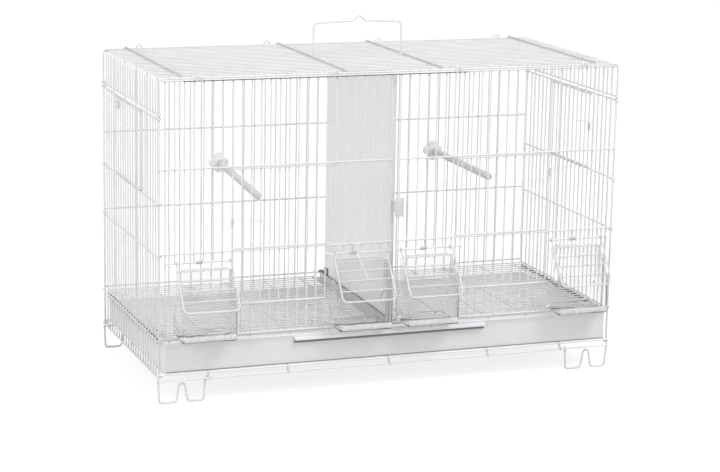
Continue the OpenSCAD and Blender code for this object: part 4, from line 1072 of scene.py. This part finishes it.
def divider_pull():
    z0, z1 = FRONT_HIGH_Z - 71, FRONT_HIGH_Z - 47
    bars = [((-1.2, FY - 6.2, z0 + 6), (1.2, FY + 7 - WELD, z1 - 6), 0.35),
            ((-1.2, FY - 6.8, z0), (9.7, FY - 5.6, z1), 0.4),
            ((8.1, FY - 7.6 + 0.9, z0 + 0.6), (9.7, FY - 4.2, z1 - 0.6), 0.5)]
    bar_piece("divider_pull_tab", bars, PULL_PAINT, "divider_pull", "divider")


def divider_rail():
    """Folded strip: a flange on which the grilles rest and a grooved rib for the divider."""
    flange_top = GRILLE_Z - MESH_R - 0.1
    groove, floor_z = DIVIDER_T / 2 + DIVIDER_ROOM, DIVIDER_LOW - DIVIDER_ROOM
    wall = groove + 1
    front, back = FY + 1.5, BY - MESH_R - WELD
    lips = [sorted((side * groove, side * wall)) for side in (-1, 1)]
    bars = [((-12, front, flange_top - 0.9), (12, back, flange_top), 0.3),
            ((-wall, FY - LAYER + CROSS_R + WELD, flange_top - 0.5), (wall, BY - 4, floor_z), 0.3)]
    bars += [((a, FY + 14, floor_z - 0.5), (b, BY - 4, floor_z + 2.2), 0.3) for a, b in lips]
    bar_piece("divider_rail_strip", bars, PULL_PAINT, "divider_rail", "cage")
    # dull grey strips on the groove's lips: painted shadow of the seam between the divider and the rail
    edges = [((a, FY + 14, floor_z + 2.1), (b, BY - 4, floor_z + 3.4), 0.3) for a, b in lips]
    bar_piece("divider_rail_groove_shadow", edges, DULL_METAL, None, "cage")


def divider_back_clip():
    """Two cheeks on strips from a foot that rests on the back's lowest cross wire."""
    plate = BY - MESH_R - WELD
    wire_z, strip_z, strip_h, top = BACK_LEVELS[2] + CROSS_R + WELD, FOOT_H + 52.5, 1.5, FOOT_H + 62
    fork, outer, cheek_front = DIVIDER_T / 2 + DIVIDER_ROOM, DIVIDER_T / 2 + 1.5, SHEET_BACK - 13.5
    bars = [((-outer, plate - 1.2, wire_z), (outer, plate, strip_z + strip_h), 0.35),
            ((-outer, plate - 1.2, wire_z), (outer, BY + LAYER + CROSS_R, wire_z + 1.2), 0.35)]
    for a, b in (sorted((side * fork, side * outer)) for side in (-1, 1)):
        bars += [((a, cheek_front, strip_z), (b, plate - 0.9, strip_z + strip_h), 0.35),
                ((a, cheek_front, strip_z), (b, SHEET_BACK, top), 0.35)]
    bar_piece("divider_back_fork", bars, DULL_METAL, "divider_back_clip", "cage")


# ---- perches
PERCH_X = (-9.94 * BACK_PITCH, 10.84 * BACK_PITCH)
PERCH_Z = (FRONT_HIGH_Z - 44.5, FRONT_HIGH_Z - 41.9)
PERCH_DROOP, PERCH_SKEW = (2.8, 0.5), (-1.6, 0.4)
CAP_BACK = BY - MESH_R - 0.3
HANDS = ("left", "right")


def perch_place(i, y):
    return Matrix.Translation(Vector((PERCH_X[i], y, PERCH_Z[i])) * MM)


def turned(profile, sides=40, flutes=0, depth=0.0):
    """Rings of a turned shape along +Z from (radius, height) pairs; flutes are fine grooves."""
    rings = []
    for r, z in profile:
        ring = []
        for k in range(sides):
            a = 2 * pi * k / sides
            rr = r - (depth * (0.5 + 0.5 * cos(flutes * a)) if flutes and r > 3 else 0)
            ring.append((rr * cos(a), rr * sin(a), z))
        rings.append(ring)
    return rings


def perch(i):
    r = PERCH_D / 2
    profile = [(r - 1.6, 0), (r - 0.5, 0.12), (r, 0.7)] + [(r, PERCH_LEN * k / 12) for k in range(1, 12)]
    profile += [(r, PERCH_LEN - 1.2), (r - 0.35, PERCH_LEN - 0.35), (r - 1.3, PERCH_LEN)]
    bm = bmesh.new()
    loft(bm, turned(profile, 48, flutes=12, depth=0.16))
    place = perch_place(i, CAP_BACK - 9.4) @ Matrix.Rotation(radians(PERCH_SKEW[i]), 4, "Z")
    place = place @ Matrix.Rotation(radians(PERCH_DROOP[i] + 90), 4, "X")
    name = HANDS[i] + "_perch"
    sheet_piece(name + "_rod", bm, PERCH_SKIN, 50, name, "cage", place)


LOBE_SIDES = 72


def lobed(inset, z):
    """Outline of four lobes round the middle, drawn in by an inset."""
    ring = []
    for k in range(LOBE_SIDES):
        a = 2 * pi * k / LOBE_SIDES
        off = (a + pi / 4) % (pi / 2) - pi / 4
        reach = 7.4 * cos(off) + math.sqrt(max(0.0, 36 - (7.4 * sin(off)) ** 2)) - inset
        ring.append((reach * cos(a), reach * sin(a), z))
    return ring


def perch_cap(i):
    bm = bmesh.new()
    rings = [lobed(1.1, 0), lobed(0.35, 0.25), lobed(0, 0.9), lobed(0, 3.1), lobed(0.3, 3.7), lobed(1.2, 4.0)]
    hub = [(6.9, 4.05), (6.5, 4.5), (6.4, 8.3), (6.0, 8.85), (5.2, 9.0), (2.1, 9.05), (2.0, 9.4),
            (2.0, 16.6), (1.5, 17)]
    rings += turned(hub, LOBE_SIDES)
    loft(bm, rings)
    # stud through the back wires
    loft(bm, turned([(1.8, -5.4), (2.4, -5.0), (2.5, -4.4), (2.5, 0.4)], 24))
    name, place = HANDS[i] + "_perch_cap", perch_place(i, CAP_BACK) @ Matrix.Rotation(radians(90), 4, "X")
    sheet_piece(name + "_moulding", bm, CAP_SKIN, 45, name, "cage", place)


def perch_nut(i):
    """Ring nut with finger grips round its rim."""
    n, thick = 64, PERCH_NUT_REACH - MESH_R - 0.31
    bm = bmesh.new()
    rings = []
    for r, z, grip in ((2.55, 0.0, 0), (7.6, 0.0, 0), (8.3, 0.35, 1), (8.5, 0.9, 1), (8.5, thick - 0.9, 1),
            (8.2, thick - 0.3, 1), (7.5, thick, 0), (3.2, thick, 0), (2.55, thick - 0.5, 0)):
        turns = [2 * pi * k / n for k in range(n)]
        reach = [r - grip * 0.25 * (0.5 + 0.5 * cos(16 * a)) for a in turns]
        rings.append([(far * cos(a), far * sin(a), z) for far, a in zip(reach, turns)])
    rows = loft(bm, rings, closed_ends=False)
    for k in range(n):
        bm.faces.new((rows[-1][k], rows[-1][(k + 1) % n], rows[0][(k + 1) % n], rows[0][k]))
    name = HANDS[i] + "_perch_nut"
    place = perch_place(i, BY + MESH_R + 0.3) @ Matrix.Rotation(radians(-90), 4, "X")
    sheet_piece(name + "_ring", bm, CAP_SKIN, 45, name, "cage", place)


# ---- the cage
front_panel()
back_panel()
side_panel(-1, "left_side_panel", "left_wire_panel")
side_panel(1, "right_side_panel", "right_wire_panel")
top_panel()
top_clips()
base_frame()
for across, deep in ((-1, 0), (1, 0), (-1, 1), (1, 1)):
    foot("foot_%s_%s" % (("front", "back")[deep], HANDS[across > 0]), across, deep)
floor_grille(-1, "left_floor_grille", "left_grille")
floor_grille(1, "right_floor_grille", "right_grille")

door_low, door_high = FRONT_LOW_Z + CROSS_D + DOOR_GAP, FRONT_HIGH_Z - CROSS_D - DOOR_GAP
side_low, side_high = SIDE_MID_Z + CROSS_D + DOOR_GAP, SIDE_HIGH_Z - CROSS_D - DOOR_GAP
for hand, across in zip(HANDS, (-1, 1)):
    wire_door(hand + "_front_door", FRONT_PITCH, 11, door_low, door_high, place_front(across))
    wire_door(hand + "_side_door", SIDE_PITCH, 10, side_low, side_high, place_side(across))
front_stile, side_stile = 10.5 * FRONT_PITCH, 9.5 * SIDE_PITCH
front_hook, side_hook = (pitch - MESH_R - LATCH_D / 2 - 0.9 for pitch in (FRONT_PITCH, SIDE_PITCH))
latch("left_front_latch", front_stile, FRONT_LOW_Z + 28.9, front_hook, 4.2, place_front(-1))
latch("right_front_latch", front_stile, FRONT_LOW_Z + 80.4, front_hook, -4.8, place_front(1), True)
latch("left_side_latch", side_stile, SIDE_HIGH_Z - 16.7, side_hook, 4, place_side(-1))
latch("right_side_latch", side_stile, SIDE_HIGH_Z - 48.7, side_hook, 4, place_side(1))

for number in range(4):
    feeder_flap(number)
    flap_spring(number)
    feeder_cup(number)
carry_handle()
divider_top_guide()
tray()
divider()
divider_pull()
divider_rail()
divider_back_clip()
for number in range(2):
    perch(number)
    perch_cap(number)
    perch_nut(number)


# ---- floor, light and camera
def photo_ray(tree):
    """1 where a ray comes from the camera, a mirror or through glass."""
    path = tree.nodes.new("ShaderNodeLightPath")
    seen = maths(tree, "MAXIMUM", path.outputs["Is Camera Ray"], path.outputs["Is Glossy Ray"])
    return maths(tree, "MAXIMUM", seen, path.outputs["Is Transmission Ray"])


def floor():
    bm = bmesh.new()
    bmesh.ops.create_grid(bm, x_segments=2, y_segments=2, size=6.0)
    mesh = bpy.data.meshes.new("studio_floor")
    bm.to_mesh(mesh)
    bm.free()
    m = bpy.data.materials.new("studio_floor")
    m.use_nodes = True
    t = m.node_tree
    t.nodes.clear()
    plain = add(t, "ShaderNodeBsdfDiffuse", {"Color": (0.55, 0.55, 0.55, 1)})
    faint = add(t, "ShaderNodeBsdfDiffuse", {"Color": (0.30, 0.30, 0.30, 1)})
    glow = add(t, "ShaderNodeEmission", {"Color": (1, 1, 1, 1), "Strength": 0.80})
    shown = add(t, "ShaderNodeAddShader", {0: faint.outputs[0], 1: glow.outputs[0]})
    mix = add(t, "ShaderNodeMixShader", {0: photo_ray(t), 1: plain.outputs[0], 2: shown.outputs[0]})
    add(t, "ShaderNodeOutputMaterial", {"Surface": mix.outputs[0]})
    mesh.materials.append(m)
    o = show("studio_floor", mesh)


def white_world():
    w = bpy.data.worlds.new("white_room")
    bpy.context.scene.world = w
    w.use_nodes = True
    t = w.node_tree
    ground = t.nodes["Background"]
    ground.inputs["Color"].default_value = (1, 1, 1, 1)
    t.links.new(remap(t, photo_ray(t), 0.0, 1.0, 0.76, 1.0), ground.inputs["Strength"])


def softbox(name, at, toward, size, power):
    lamp = bpy.data.lights.new(name, "AREA")
    lamp.shape, lamp.size, lamp.energy = "SQUARE", size, power
    o = show(name, lamp)
    o.location = at
    o.rotation_euler = (Vector(toward) - Vector(at)).to_track_quat("-Z", "Y").to_euler()


def camera():
    """The photograph's view, solved from the cage's corners."""
    azimuth, elevation, roll = 0.3584847657593113, 0.215384984381157, 0.019143244260448687
    ahead = Vector((sin(azimuth) * cos(elevation), cos(azimuth) * cos(elevation), -sin(elevation)))
    right = ahead.cross(Vector((0, 0, 1))).normalized()
    up = right.cross(ahead)
    across = right * cos(roll) + up * sin(roll)
    upward = up * cos(roll) - right * sin(roll)
    lens = bpy.data.cameras.new("camera")
    lens.lens, lens.sensor_width, lens.sensor_fit = 109.24, 36, "HORIZONTAL"
    lens.clip_start, lens.clip_end = 0.05, 50
    o = show("camera", lens)
    m = Matrix((across, upward, -ahead)).transposed().to_4x4()
    m.translation = Vector((-0.9519074, -2.5569397 + CY * MM, 0.7572099))
    o.matrix_world = m
    bpy.context.scene.camera = o


floor()
white_world()
softbox("key", (1.0, -1.5, 2.5), (0, 0, 0.2), 1.3, 34)
softbox("fill", (-1.9, -1.4, 1.3), (0, 0, 0.2), 1.8, 20)
camera()
bpy.context.scene.view_settings.view_transform = "Standard"
